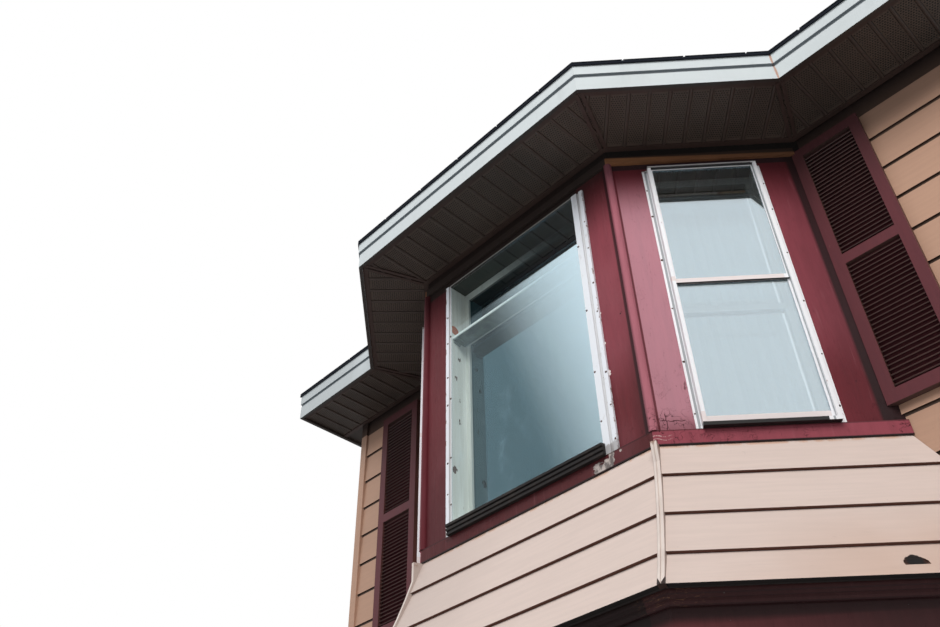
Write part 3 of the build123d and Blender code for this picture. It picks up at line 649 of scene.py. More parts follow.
def post_metal():
    """Ribbed corner posts of the apron: the siding's tone with rust near the head, darker edges, painted
    shade beside the pointed foot and on faces turned down, browner on the left post's left faces.
    """
    f = Finish("apron_post_beige")
    grain = f.noise(18, 4, 0.55, (1, 1, 0.2))
    f.colour = f.mix(grain.rise(0.3, 0.7), (218, 204, 196), (232, 219, 211))
    rust = f.z.rise(BAND_FOOT - 0.035, BAND_FOOT - 0.001) * f.noise(40, 4, 0.65).rise(0.42, 0.6)
    f.coat(rust * 0.7, (150, 106, 84))
    turn = TURN / 2
    across = abs((abs(f.x) - HALF_FRONT) * math.cos(turn) + (f.y - BAY_FACE) * math.sin(turn))
    f.coat(across.rise(0.0112, 0.0122) * 0.55, (126, 98, 86))
    # Painted shade in the gap beside the post's pointed foot.
    pointed = (across - f.z * 0.45 + 0.002).rise(0.0, 0.0015) * f.z.rise(0.036, 0.032)
    f.coat(pointed, (46, 33, 30))
    # Painted shade on faces turned down.
    f.coat(f.facing(0, 0, -1), (58, 42, 37))
    f.coat(f.facing(-1, 0, 0, 0.75, 0.9) * f.x.rise(-0.5, -0.6) * 0.55, (158, 104, 78))
    return f.surface(grain * 0.16 + 0.42, grain, 0.0005, Specular_IOR_Level=0.4)


# The levels between which the fascia's groove lies in shadow
FASCIA_GROOVE = (2.5885, 2.6045)


def fascia_metal():
    """White coated fascia, streaked with dirt, rusty along one mitre, with painted shade under its folds and
    in its groove, brown where the soffit folds under.
    """
    f = Finish("fascia_white_metal")
    tone = (203, 210, 212)
    runs = f.noise(16, 5, 0.6, (1, 1, 0.15), 1.5)
    clouds = f.noise(3.5, 4, 0.5, (1, 1, 1), 7.0)
    grit = f.noise(60, 4, 0.65, (1, 1, 0.3), 2.0)
    f.colour = f.mix(runs.rise(0.52, 0.78) * 0.30, tone, (176, 181, 182))
    f.coat(clouds.rise(0.5, 0.75) * 0.25, dimmed(tone, 0.92))
    f.coat((f.x.rise(1.50, 1.85) * 0.25).high(f.x.rise(-1.50, -1.85) * 0.55), dimmed(tone, 0.80))
    mitre = abs(f.x - INNER + (f.y - WALL_FACE) * MITRE) * math.cos(TURN / 2)
    rust = (mitre.rise(0.016, 0.000) * 0.8 + grit * 0.7).rise(0.90, 1.15)
    f.coat(rust * 0.75, (178, 120, 86))
    # Painted shade on faces turned down high on the fascia.
    down = f.face_z.rise(-0.4, -0.7)
    f.coat(down * f.z.rise(SOFFIT + 0.04, SOFFIT + 0.09) * 0.8, (86, 96, 104))
    f.coat(down * f.z.rise(SOFFIT, SOFFIT - 0.01), (46, 40, 37))
    # Painted shadow in the groove.
    f.coat(f.z.within(*FASCIA_GROOVE, 0.0004) * 0.62, (98, 108, 116))
    return f.surface(grit * 0.15 + 0.34, clouds * 0.4 + grit * 0.12, 0.0012, Specular_IOR_Level=0.45)


def sash_wood():
    """The wooden sashes: chalky white paint, flaking along the grain down to grey boards, and painted shade
    on faces turned down.
    """
    f = Finish("wooden_sash_white")
    tone = (222, 222, 216)
    grain = f.noise(14, 6, 0.62, (3, 3, 0.25))
    flakes = f.noise(20, 5, 0.72, (1, 1, 0.32), 8.0)
    dirt = f.noise(5, 4, 0.6, (1, 1, 0.4), 2.0)
    f.colour = f.mix(grain.rise(0.35, 0.7), dimmed(tone, 0.93), tone)
    f.coat(dirt.rise(0.5, 0.75) * 0.4, dimmed(tone, 0.84))
    bare = (flakes + f.z.rise(1.7, 0.9) * 0.03).rise(0.69, 0.71)
    f.coat(bare, f.mix(grain, (122, 84, 66), (92, 72, 60)))
    # Painted shade on faces turned down.
    f.coat(f.facing(0, 0, -1) * 0.8, (66, 72, 68))
    return f.surface(grain * 0.2 + 0.45, grain * 0.3 - bare * 0.6, 0.0009, Specular_IOR_Level=0.4)


# The front window's frame, measured from the bay's middle: its edge, the groove between its two strips
# and the fine line beside that. HEAD_HALF is half the head's length, measured from the opening's middle.
FRAME_EDGE, FRAME_GROOVE, FRAME_LINE = 0.515, 0.4875, 0.4935
HEAD_HALF = 0.463


def storm_frame():
    """Painted front frame: white, its head painted in shade, chipped at its edges, grimy at its foot, with
    painted shade in its groove and near its head at the right.
    """
    f = Finish("storm_frame_white")
    fine = f.noise(55, 4, 0.65, (1, 1, 0.35))
    runs = f.noise(11, 5, 0.6, (1, 1, 0.12), 1.0)
    f.colour = f.mix(runs.rise(0.4, 0.8), (238, 241, 247), (222, 223, 226))
    f.coat(fine.rise(0.60, 0.70) * 0.35, (190, 186, 180))
    # Painted shade: the head darkened, with a thin pale line left on it.
    head = f.z.rise(FRONT_HEAD - 0.0130, FRONT_HEAD - 0.0125)
    head = head * abs(f.x - FRONT_MIDDLE).rise(HEAD_HALF + 0.0002, HEAD_HALF - 0.0002)
    f.coat(head, (66, 60, 56))
    f.coat(head * f.z.within(FRONT_HEAD - 0.0110, FRONT_HEAD - 0.0075, 0.0008), (176, 174, 170))
    # Painted shade in the groove between the frame's two strips.
    groove = abs(abs(f.x) - FRAME_GROOVE).rise(0.0080, 0.0060)
    f.coat(groove * 0.35, (196, 190, 182))
    line = abs(abs(f.x) - FRAME_LINE).rise(0.0018, 0.0008)
    f.coat(line * 0.35, (126, 118, 112))
    edge = abs(abs(f.x) - FRAME_EDGE).rise(0.005, 0.001)
    chips = (f.noise(44, 4, 0.7, (1, 1, 0.5), 3.0) + edge * 0.14 + f.z.rise(1.1, 0.8) * 0.03).rise(0.69, 0.71)
    f.coat(chips * 0.8, (132, 104, 92))
    foot = f.noise(18, 4, 0.6, (1, 1, 1), 5.0) + f.z.rise(0.84, 0.77) * 0.3 * f.x.rise(0.0, 0.2)
    f.coat(foot.rise(0.58, 0.72) * f.z.rise(0.92, 0.84) * 0.75, (158, 153, 152))
    # Painted shade near the head at the right.
    shaded = f.x.rise(0.44, 0.46) * f.z.rise(2.10, FRONT_HEAD) * 0.22
    f.coat(shaded, (120, 104, 96))
    height = fine * 0.2 + runs * 0.2 - chips * 0.5 - groove * 0.3
    return f.surface(fine * 0.2 + 0.36, height, 0.0009, Specular_IOR_Level=0.45)


# The side windows, measured outwards from their middle: half a sash, the dark channel, where the mark on
# the head ends, and the frame's edge
SASH_HALF, CHANNEL, HEAD_END, SIDE_EDGE = 0.254, (0.2715, 0.2790), 0.278, (0.2905, 0.2950)
# Where the bottom rail and the meeting rail start and end
BOTTOM_RAIL, MEETING_RAIL = (0.782, 0.829), (1.537, 1.563)


def sash_aluminium():
    """Side storm windows: bright coated tracks, a dark channel, pinkish rails, painted shadow in the gap
    under the bottom rail and painted shade on faces turned down.
    """
    f = Finish("storm_sash_white")
    away = abs(down_cant(f)[1] - CANT_MIDDLE)
    runs = f.noise(20, 5, 0.6, (1, 1, 0.15), 1.0)
    fine = f.noise(70, 3, 0.6)
    f.colour = f.mix(runs.rise(0.45, 0.8) * 0.5, (250, 250, 253), (228, 226, 227))
    inside = away.rise(SASH_HALF + 0.0005, SASH_HALF - 0.0005)
    rail = f.z.within(*BOTTOM_RAIL, 0.002).high(f.z.within(*MEETING_RAIL, 0.001)) * inside
    f.coat(rail * 0.7, (236, 220, 216))
    channel = away.within(*CHANNEL, 0.0012) * f.z.rise(SIDE_HEAD - 0.007, SIDE_HEAD - 0.011)
    f.coat(channel * 0.75, (120, 128, 132))
    head = f.z.within(SIDE_HEAD - 0.0110, SIDE_HEAD - 0.0055, 0.0008) * away.rise(HEAD_END + 0.003, HEAD_END)
    f.coat(head * 0.8, (92, 84, 80))
    f.coat(f.z.rise(SIDE_HEAD - 0.0050, SIDE_HEAD - 0.0038) * 0.6, (132, 126, 124))
    edge = away.within(*SIDE_EDGE, 0.0010)
    chips = (f.noise(40, 4, 0.7, (1, 1, 0.4), 6.0) + edge * 0.06).rise(0.71, 0.74)
    f.coat(chips * 0.7, (150, 112, 108))
    # Painted shadow in the gap under the bottom rail.
    gap = f.z.rise(BOTTOM_RAIL[0] + 0.0005, BOTTOM_RAIL[0] - 0.0010) * inside
    f.coat(gap, (20, 18, 18))
    # Painted shade on faces turned down.
    f.coat(f.facing(0, 0, -1), (26, 24, 24))
    return f.surface(fine * 0.15 + 0.3, runs * 0.4 + fine * 0.2, 0.0006, Specular_IOR_Level=0.45)


def ridged_sill():
    """The ridged sill under the front window: nearly black, and dusty on top."""
    f = Finish("ridged_sill_black")
    dust = f.noise(26, 5, 0.65, (0.4, 1, 1))
    f.colour = f.mix(dust.rise(0.45, 0.75), (30, 27, 27), (52, 46, 43))
    f.coat(f.facing(0, 0, 1) * dust, (96, 86, 78))
    return f.surface(dust * 0.25 + 0.40, dust, 0.0010, Specular_IOR_Level=0.22)


def golden_board():
    """Clear-stained strip under the eave: golden brown on the side walls, darker towards their inner corners,
    with a painted shadow along its top, and painted in shade on the front.
    """
    f = Finish("golden_strip_stain")
    grain = f.noise(5, 6, 0.65, (1.5, 1.5, 26))
    clouds = f.noise(2.0, 3, 0.5)
    on_cant = down_cant(f)[0]
    f.colour = f.mix(grain.rise(0.3, 0.7), (128, 88, 60), (156, 108, 74))
    f.coat(clouds.rise(0.45, 0.7) * 0.5, (104, 70, 50))
    along = abs(f.x) - HALF_FRONT
    # Darker towards the side walls' inner corners.
    f.coat(along.rise(0.05, 0.65) * 0.5, (78, 54, 42))
    # Painted shadow along the strip's top, widening towards the inner corner.
    f.coat((f.z + along * 0.034 - STRIP_HEAD + 0.007).rise(-0.004, 0.006) * 0.9, (36, 30, 28))
    # Painted shade over the whole strip on the front.
    f.colour = f.mix(on_cant, f.mix(grain, (38, 31, 29), (52, 42, 38)), f.colour)
    return f.surface(grain * 0.2 + 0.4, grain, 0.0008, Specular_IOR_Level=0.3)


def shutter_paint():
    """Dark maroon on old louvres: redder on their front, darker towards the top, paler on faces turned up,
    painted shade on faces turned down, with brown chips.
    """
    f = Finish("shutter_maroon")
    grain = f.noise(16, 5, 0.6, (3, 3, 0.3))
    clouds = f.noise(2.2, 3, 0.5, (1, 1, 1), 1.0)
    f.colour = f.mix(grain.rise(0.3, 0.72), (90, 60, 56), (106, 70, 65))
    f.coat(clouds.rise(0.5, 0.75) * 0.5, (106, 60, 57))
    f.coat(f.facing(0, -1, 0, 0.93, 0.98) * 0.8, f.mix(grain, (84, 38, 46), (96, 44, 53)))
    # Darker towards the top.
    f.coat(f.z.rise(1.7, 2.3) * 0.45, (46, 32, 30))
    # Paler on faces turned up.
    f.coat(f.facing(0, 0, 1, 0.4, 0.8) * 0.4, (120, 88, 82))
    # Painted shade on faces turned down.
    f.coat(f.facing(0, 0, -1, 0.2, 0.6) * 0.7, (66, 52, 49))
    chips = f.noise(38, 4, 0.7, (1, 1, 0.5), 4.0).rise(0.71, 0.74)
    f.coat(chips * 0.7, (140, 112, 96))
    return f.surface(grain * 0.2 + 0.45, grain - chips * 0.5, 0.0009, Specular_IOR_Level=0.3)


# How far apart the soffit's ribs are, and its vent holes: 4 in and half an inch
RIB_PITCH = 0.1016
VENT_PITCH = 0.0127


def vent_holes(f):
    """1 in the staggered round holes that fill the middle of each panel, by the panel's own map."""
    s, o = f.own_map()
    shift = (o / VENT_PITCH).floor() % 2.0 * (VENT_PITCH / 2)
    across = abs((s + shift) % VENT_PITCH - VENT_PITCH / 2)
    down = abs(o % VENT_PITCH - VENT_PITCH / 2)
    hole = (across * across + down * down).root().rise(0.0042, 0.0034)
    from_rib = abs(s % RIB_PITCH - RIB_PITCH / 2)
    return hole * from_rib.rise(0.0365, 0.0345) * o.within(0.045, 0.345, 0.003)


def soffit_metal(name, tone, vented=False):
    """Brown folded sheet under the eave, dusty; the panels are pierced, their holes painted near black as the
    shade behind them.
    """
    f = Finish(name)
    clouds = f.noise(1.8, 4, 0.55, (1, 1, 1), 2.0)
    dust = f.noise(40, 4, 0.6)
    f.colour = f.mix(clouds.rise(0.35, 0.7), tone, dimmed(tone, 0.84))
    f.coat(dust.rise(0.60, 0.75) * 0.3, dimmed(tone, 1.22))
    height = clouds * 0.4 + dust * 0.05
    if vented:
        holes = vent_holes(f)
        # Painted shade: the holes near black, for the dark space behind them.
        f.coat(holes, (8, 7, 7))
        height = height - holes
    return f.surface(dust * 0.2 + 0.42, height, 0.0010, Specular_IOR_Level=0.35)


def asphalt():
    """Mineral grit on shingles: blue-black in patches of tone, with paler grains and dark edges."""
    f = Finish("asphalt_shingle")
    grit = f.noise(420, 2, 0.6)
    patch = f.noise(3.2, 4, 0.6)
    f.colour = f.mix(f.patches(6.5, (1, 1, 1.6)), (44, 49, 57), (57, 63, 72))
    f.coat(patch.rise(0.4, 0.75) * 0.4, (32, 35, 40))
    f.coat(grit.rise(0.58, 0.70) * 0.7, (104, 110, 118))
    f.coat(f.face_z.rise(0.75, 0.5), (24, 27, 34))
    return f.surface(0.88, grit, 0.0012, Specular_IOR_Level=0.12)


# The layers of the house wall, by the depth where each ends
SHEATHING_BACK, STUD_BACK = -0.126, -0.0125


def framing_timber():
    """The cut wall behind the siding: sheathing, studs and plaster, in layers by depth."""
    f = Finish("cut_wall_layers")
    grain = f.noise(10, 6, 0.6, (1, 1, 0.12))
    rings = f.noise(30, 4, 0.7, (1, 1, 1), 3.0)
    board = f.mix(rings.rise(0.35, 0.7), (158, 122, 82), (186, 150, 106))
    stud = f.mix(grain.rise(0.3, 0.7), (196, 164, 120), (216, 188, 148))
    lining = f.mix(f.noise(7, 4, 0.5), (212, 206, 197), (226, 221, 212))
    f.colour = f.mix(f.y.rise(SHEATHING_BACK - 0.0005, SHEATHING_BACK + 0.0005), board, stud)
    behind_board = abs(f.y - SHEATHING_BACK).rise(0.0022, 0.0010)
    behind_stud = abs(f.y - STUD_BACK).rise(0.0018, 0.0008)
    f.coat(behind_board.high(behind_stud), (74, 58, 44))
    f.coat(f.y.rise(STUD_BACK - 0.0005, STUD_BACK + 0.0005), lining)
    return f.surface(grain * 0.15 + 0.6, grain * 0.5 + rings * 0.3, 0.0010)


def floor_boards():
    """Narrow oak boards along the bay, each in a tone of its own, with dark seams."""
    f = Finish("floor_board_oak")
    width = 0.065
    seam = abs(f.y % width - width / 2).rise(width / 2 - 0.0011, width / 2 - 0.0004)
    row = (f.y / width).floor()
    tone = f.node("ShaderNodeTexWhiteNoise", {"noise_dimensions": "1D"}, {"W": row})
    grain = f.noise(7, 6, 0.65, (1.2, 16, 16))
    f.colour = f.mix(tone, (140, 92, 54), (176, 124, 78))
    f.coat(grain.rise(0.4, 0.7) * 0.5, (108, 68, 40))
    f.coat(seam, (44, 28, 18))
    return f.surface(grain * 0.2 + 0.32, grain * 0.15 - seam, 0.0012, Coat_Weight=0.15)


def underside_wood():
    """Stained boards under the bay, grain along X, with soft dirt."""
    f = Finish("underside_boards")
    dark = (34, 29, 28)
    grain = f.noise(6, 6, 0.62, (1, 14, 14))
    dirt = f.noise(3, 4, 0.6, (1, 1, 1), 4.0)
    f.colour = f.mix(grain.rise(0.3, 0.7), dark, (46, 39, 37))
    f.coat(dirt.rise(0.5, 0.8) * 0.5, dimmed(dark, 0.7))
    return f.surface(grain * 0.15 + 0.6, grain, 0.0010)


def plaster():
    """Rolled white plaster with a faint stipple."""
    f = Finish("ceiling_plaster")
    stipple = f.noise(160, 3, 0.6)
    clouds = f.noise(2, 3, 0.5)
    f.colour = f.mix(clouds, (216, 211, 202), (230, 226, 218))
    return f.surface(0.85, stipple, 0.0008)


def brass():
    """Dull brass of the curtain rods."""
    f = Finish("rod_brass")
    fine = f.noise(60, 4, 0.6)
    f.colour = f.mix(fine.rise(0.4, 0.7), (150, 118, 66), (188, 154, 92))
    return f.surface(fine * 0.25 + 0.25, fine, 0.0003, Metallic=1.0)


# How far apart the threads of the curtain cloth are
THREAD_PITCH = 0.0016


def sheer_cloth():
    """Fine white curtain cloth, its weave in the piece's own map, light coming through."""
    f = Finish("sheer_curtain_cloth")
    warp, weft = (abs(way % THREAD_PITCH - THREAD_PITCH / 2) * (2 / THREAD_PITCH) for way in f.own_map())
    slub = f.noise(30, 4, 0.6, (1, 1, 4))
    normal = f.bumped(warp * 0.5 + weft * 0.5, 0.0003)
    cloth = f.node("ShaderNodeBsdfPrincipled", {}, {
        "Base Color": f.mix(slub.rise(0.4, 0.7), (226, 226, 222), (238, 238, 234)),
        "Roughness": 0.9, "Normal": normal, "Sheen Weight": 0.25})
    glow = f.node("ShaderNodeBsdfTranslucent", {}, {"Color": shade(232, 232, 228), "Normal": normal})
    return f.ended(f.node("ShaderNodeMixShader", {}, {0: 0.4, 1: cloth, 2: glow}))


# The level about which the front pane's painted brighter reflection of the sky turns
SKY_MIDDLE = 1.95


def storm_glass(name, mirrored, mirror_tint, clear_tint, sidelong=0.40, sweep=0.0):
    """A pane that mirrors the sky over what stands behind it: slight waves, faint grime.

    mirrored is the share mirrored head on, sidelong what a grazing look adds, and sweep how much more
    it mirrors towards the upper right, a painted brighter reflection of the sky. The tints are linear.
    """
    f = Finish(name)
    normal = f.bumped(f.noise(1.6, 2, 0.4, (1, 1, 0.6)), 0.0010)
    grime = f.noise(9, 5, 0.65, (1, 1, 0.5), 3.0)
    mirror = f.node("ShaderNodeBsdfGlossy", {}, {
        "Color": (*mirror_tint, 1.0), "Roughness": 0.02, "Normal": normal})
    through = f.node("ShaderNodeBsdfTransparent", {}, {"Color": (*clear_tint, 1.0)})
    facing = f.node("ShaderNodeLayerWeight", {}, {"Blend": 0.35, "Normal": normal}, 1)
    share = (facing * sidelong + mirrored + grime.rise(0.55, 0.8) * 0.05).low(0.96)
    if sweep:
        share = (share + (f.x * 1.6 + (f.z - SKY_MIDDLE) * 0.5).rise(-0.40, 1.05) * sweep).low(0.96)
    return f.ended(f.node("ShaderNodeMixShader", {}, {0: share, 1: through, 2: mirror}))


def rusty_nail():
    """Nail heads gone dark brown in spots."""
    f = Finish("nail_rust")
    spots = f.noise(140, 3, 0.7)
    f.colour = f.mix(spots.rise(0.35, 0.65), (34, 25, 25), (96, 58, 42))
    return f.surface(0.75, spots, 0.0006, Metallic=0.2)


# The left face of the front window's reveal, and its rust-brown spot, as y and z
REVEAL_FACE = -0.481
RUST_SPOT = (-0.796, 2.020)
# Where the reveal's paint has flaked: y, z, radius and how far each fades
SCARS = ((-0.775, 1.559, 0.010, 0.030), (-0.757, 1.834, 0.008, 0.026), (-0.790, 1.690, 0.008, 0.026),
         (-0.799, 1.126, 0.008, 0.026), (-0.770, 1.420, 0.008, 0.026))


def reveal_paint():
    """The deep wooden reveal: cream paint, blisters, one round rust-brown spot, and painted shade on its
    head.
    """
    f = Finish("reveal_flaking_cream")
    grain = f.noise(12, 6, 0.62, (3, 3, 0.2))
    flakes = f.noise(17, 5, 0.74, (1, 1, 0.3), 5.0)
    f.colour = f.mix(grain.rise(0.35, 0.7), (232, 231, 224), (247, 247, 242))
    scars = f.spotted([((REVEAL_FACE, y, z), radius, soft) for y, z, radius, soft in SCARS])
    bare = (flakes + scars * 0.16).rise(0.66, 0.68)
    f.coat(bare, (98, 66, 50))
    # Painted shade on the head, turned down.
    head = f.facing(0, 0, -1) * f.z.rise(2.1, 2.2)
    f.coat(head, f.mix(grain, (52, 54, 50), (74, 76, 70)))
    spot = f.near((REVEAL_FACE, *RUST_SPOT), 0.027, 0.004)
    f.coat(spot, f.mix(grain, (204, 104, 40), (160, 70, 28)))
    return f.surface(grain * 0.2 + 0.5, grain * 0.4 - bare, 0.0010)


def shelf_paint():
    """The bar across the front window: bright front edge, grey-green mottled underside."""
    f = Finish("shelf_bar_paint")
    mottle = f.noise(26, 5, 0.65)
    f.colour = f.mix(mottle.rise(0.35, 0.7), (240, 243, 241), (250, 251, 250))
    f.coat(f.z.rise(SHELF_FOOT + 0.009, SHELF_FOOT + 0.007) * 0.7, (120, 126, 120))
    green = f.mix(mottle.rise(0.35, 0.65), (44, 50, 45), (88, 96, 86))
    f.coat(f.facing(0, 0, -1) * f.y.rise(-0.716, -0.719), green)
    f.coat(mottle.rise(0.66, 0.7) * 0.6, (70, 62, 54))
    return f.surface(mottle * 0.2 + 0.4, mottle, 0.0006)


MAKERS = {
    "bay_wall": lambda: red_paint("red_gloss_bay_wall", "wall"),
    "bead": lambda: red_paint("red_gloss_bead", "bead"),
    "band": lambda: red_paint("red_gloss_band", "band"),
    "dark_red": lambda: red_paint("red_gloss_low", "low"),
    "skirt": lambda: red_paint("red_gloss_skirt", "skirt"),
    "apron": apron_siding,
    "apron_post": post_metal,
    "wall_siding": lambda: wall_siding("wall_siding_tan", (188, 150, 128), (46, 32, 26), True),
    "wall_post": lambda: wall_siding("wall_post_tan", (190, 152, 130), (46, 32, 26), False),
    "fascia": fascia_metal,
    "flange": storm_frame,
    "sash": sash_aluminium,
    "reveal": reveal_paint,
    "old_white": sash_wood,
    "shelf": shelf_paint,
    "sill": ridged_sill,
    "gold": golden_board,
    "shutter": shutter_paint,
    "soffit": lambda: soffit_metal("soffit_brown", (62, 53, 48)),
    "vents": lambda: soffit_metal("soffit_vent_panel", (84, 72, 64), vented=True),
    "ribs": lambda: soffit_metal("soffit_rib_brown", (72, 60, 54)),
    "trims": lambda: soffit_metal("soffit_trim_brown", (66, 50, 45)),
    "asphalt": asphalt,
    "framing": framing_timber,
    "floor": floor_boards,
    "underside": underside_wood,
    "ceiling": plaster,
    "rod": brass,
    "cloth": sheer_cloth,
    "front_glass": lambda: storm_glass(
        "front_pane_glass", 0.02, (0.70, 0.87, 0.95), (0.94, 0.97, 0.97), sidelong=0.08, sweep=0.92),
    "side_glass": lambda: storm_glass("side_pane_glass", 0.36, (0.82, 0.93, 1.0), (0.93, 0.95, 0.95)),
    # The front's inner pane lets through only a tenth of the light: painted shade on the room behind it.
    "dark_glass": lambda: storm_glass(
        "inner_pane_dark", 0.16, (0.24, 0.44, 0.54), (0.07, 0.10, 0.11), sidelong=0.30),
    "clear_glass": lambda: storm_glass("inner_pane_clear", 0.11, (0.80, 0.90, 0.95), (0.93, 0.95, 0.95)),
    "nail": rusty_nail,
}
FINISHES = {}


def finish(name):
    """A material by its short name, made on first use."""
    if name not in FINISHES:
        FINISHES[name] = MAKERS[name]()
    return FINISHES[name]


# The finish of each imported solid
SOLID_FINISHES = {
    "wall_left": "framing", "wall_right": "framing", "wall_header": "framing", "floor_rim": "framing",
    "bay_floor": "floor", "underside": "underside", "apron_soffit": "underside", "bay_ceiling": "ceiling",
    "bay_wall_front": "bay_wall", "bay_wall_left": "bay_wall", "bay_wall_right": "bay_wall",
    "sill_bands": "band", "corner_beads": "bead", "skirt_boards": "skirt", "crown_moulding": "dark_red",
    "siding_left": "wall_siding", "siding_right": "wall_siding", "corner_posts": "wall_post",
    "apron_front": "apron", "apron_left": "apron", "apron_right": "apron", "apron_posts": "apron_post",
    "head_strips": "gold", "front_frame": "flange", "window_liners": "reveal",
    "wooden_sashes": "old_white", "front_transom": "shelf", "front_sill": "sill",
    "front_glass": "front_glass", "side_glass": "side_glass",
    "side_frames": "sash", "side_storm_sashes": "sash",
    "curtain_rods": "rod", "front_curtain": "cloth", "side_curtains": "cloth",
    "left_shutter": "shutter", "right_shutter": "shutter", "fascia": "fascia",
    "eave_end_boards": "soffit", "soffit": "soffit",
    "roof_front": "asphalt", "roof_left": "asphalt", "roof_right": "asphalt",
    "roof_main_left": "asphalt", "roof_main_right": "asphalt",
}


def mesh_object(name, mesh, slot, *materials):
    """Links a mesh as a piece on the root body, in the materials given; slot is not used."""
    piece = bpy.data.objects.new(name, mesh)
    bpy.context.scene.collection.objects.link(piece)
    for material in materials:
        mesh.materials.append(material)
    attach(piece, "root")
    return piece


def bmesh_object(name, built, slot, material):
    """Turns a bmesh into a piece, its normals recalculated first."""
    bmesh.ops.recalc_face_normals(built, faces=built.faces)
    mesh = bpy.data.meshes.new(name)
    built.to_mesh(mesh)
    built.free()
    return mesh_object(name, mesh, slot, material)


class NodeModifier:
    """A Geometry Nodes tree in the making, with named inputs."""

    def __init__(self, name, sizes):
        self.name, self.sizes = name, sizes
        self.tree = bpy.data.node_groups.new(name, "GeometryNodeTree")
        self.sockets = {}
        face = self.tree.interface
        face.new_socket("Geometry", in_out="INPUT", socket_type="NodeSocketGeometry")
        for label, value in sizes.items():
            kind = "NodeSocketInt" if isinstance(value, int) else "NodeSocketFloat"
            if isinstance(value, bpy.types.Material):
                kind = "NodeSocketMaterial"
            self.sockets[label] = face.new_socket(label, in_out="INPUT", socket_type=kind)
        face.new_socket("Geometry", in_out="OUTPUT", socket_type="NodeSocketGeometry")
        self.entry = self.tree.nodes.new("NodeGroupInput")
        self.exit = self.tree.nodes.new("NodeGroupOutput")

    def input(self, label):
        return self.entry.outputs[label]

    def node(self, kind, settings, sockets, output=0):
        """Adds a node with its settings first, then its sockets' values or links."""
        made = self.tree.nodes.new(kind)
        for name, setting in settings.items():
            setattr(made, name, setting)
        for name, value in sockets.items():
            if isinstance(value, bpy.types.NodeSocket):
                self.tree.links.new(value, made.inputs[name])
            else:
                made.inputs[name].default_value = value
        return made.outputs[output]

    def maths(self, operation, first, second):
        return self.node("ShaderNodeMath", {"operation": operation}, {0: first, 1: second})

    def applied(self, mesh, result):
        """Ends the tree, runs it on a mesh and gives the plain mesh that comes out."""
        real = self.node("GeometryNodeRealizeInstances", {}, {"Geometry": result})
        last = self.node("GeometryNodeSetMaterial", {}, {
            "Geometry": real, "Material": self.input("Material")})
        self.tree.links.new(last, self.exit.inputs[0])
        carrier = bpy.data.objects.new(self.name + "_rows", mesh)
        bpy.context.scene.collection.objects.link(carrier)
        modifier = carrier.modifiers.new(self.name, "NODES")
        modifier.node_group = self.tree
        for label, value in self.sizes.items():
            modifier[self.sockets[label].identifier] = value
        bpy.context.view_layer.update()
        ready = carrier.evaluated_get(bpy.context.evaluated_depsgraph_get())
        made = bpy.data.meshes.new_from_object(ready)
        made.name = self.name
        carrier.modifiers.clear()
        bpy.data.objects.remove(carrier)
        bpy.data.meshes.remove(mesh)
        bpy.data.node_groups.remove(self.tree)
        if not made.polygons:
            raise RuntimeError(f"{self.name}: the rows came out empty")
        return made


def points_mesh(places, directions=None):
    """Loose points, with a direction for each as the attribute out."""
    mesh = bpy.data.meshes.new("places")
    mesh.from_pydata([tuple(p) for p in places], [], [])
    if directions:
        layer = mesh.attributes.new("out", "FLOAT_VECTOR", "POINT")
        layer.data.foreach_set("vector", [c for d in directions for c in d])
    return mesh


def lines_mesh(lines):
    """Separate straight lines as edges."""
    mesh = bpy.data.meshes.new("lines")
    corners = [tuple(p) for line in lines for p in line]
    mesh.from_pydata(corners, [(2 * i, 2 * i + 1) for i in range(len(lines))], [])
    return mesh


def add_block(built, corners):
    """Adds a closed block from its eight corners, four below and four above, both in turn."""
    verts = [built.verts.new(c) for c in corners]
    a, b, c, d, e, g, h, i = verts
    for face in ((d, c, b, a), (e, g, h, i), (a, b, g, e), (b, c, h, g), (c, d, i, h), (d, a, e, i)):
        built.faces.new(face)


def run_strip(built, run, near, far, bottom, top, start=None, end=None):
    """Adds a strip along a run from offset near to far, its ends on the mitres unless given."""
    corners = []
    for height in (bottom, top):
        for o, at_end in ((near, False), (far, False), (far, True), (near, True)):
            s = run.ends(o)[at_end]
            if start is not None and not at_end:
                s = max(s, start)
            if end is not None and at_end:
                s = min(s, end)
            corners.append(run.at(s, o, height))
    add_block(built, corners)


class StageSizes(bpy.types.PropertyGroup):
    floor_level: bpy.props.FloatProperty(
        name="Floor level", description="Level of the pale floor", default=-2.8, unit="LENGTH")
    camera_place: bpy.props.FloatVectorProperty(
        name="Camera place", description="Where the picture is taken from",
        default=(2.3514, -3.4558, -1.2326), subtype="XYZ", unit="LENGTH")
    camera_turn: bpy.props.FloatVectorProperty(
        name="Camera turn", description="Yaw, pitch and roll of the camera in degrees",
        default=(45.5115, 41.0013, -1.1701))
    lens: bpy.props.FloatProperty(
        name="Lens", description="Focal length in millimetres", default=34.89, unit="CAMERA")
    key_power: bpy.props.FloatProperty(
        name="Key light", description="Power of the large soft light in watts", default=740.0)
    fill_power: bpy.props.FloatProperty(
        name="Fill light", description="Power of the second light in watts", default=120.0)
    sky_level: bpy.props.FloatProperty(
        name="Sky level", description="Strength of the even light from all round", default=0.32)


class EaveSizes(bpy.types.PropertyGroup):
    rib_pitch: bpy.props.FloatProperty(
        name="Rib pitch", description="Distance between the ribs of the soffit panels",
        default=RIB_PITCH, unit="LENGTH")
    rib_width: bpy.props.FloatProperty(
        name="Rib width", description="Width of a rib at its foot", default=0.021, unit="LENGTH")
    rib_depth: bpy.props.FloatProperty(
        name="Rib depth", description="How far a rib hangs below the panel", default=0.007, unit="LENGTH")
    trim_width: bpy.props.FloatProperty(
        name="Trim width", description="Width of the channel along the wall", default=0.028, unit="LENGTH")


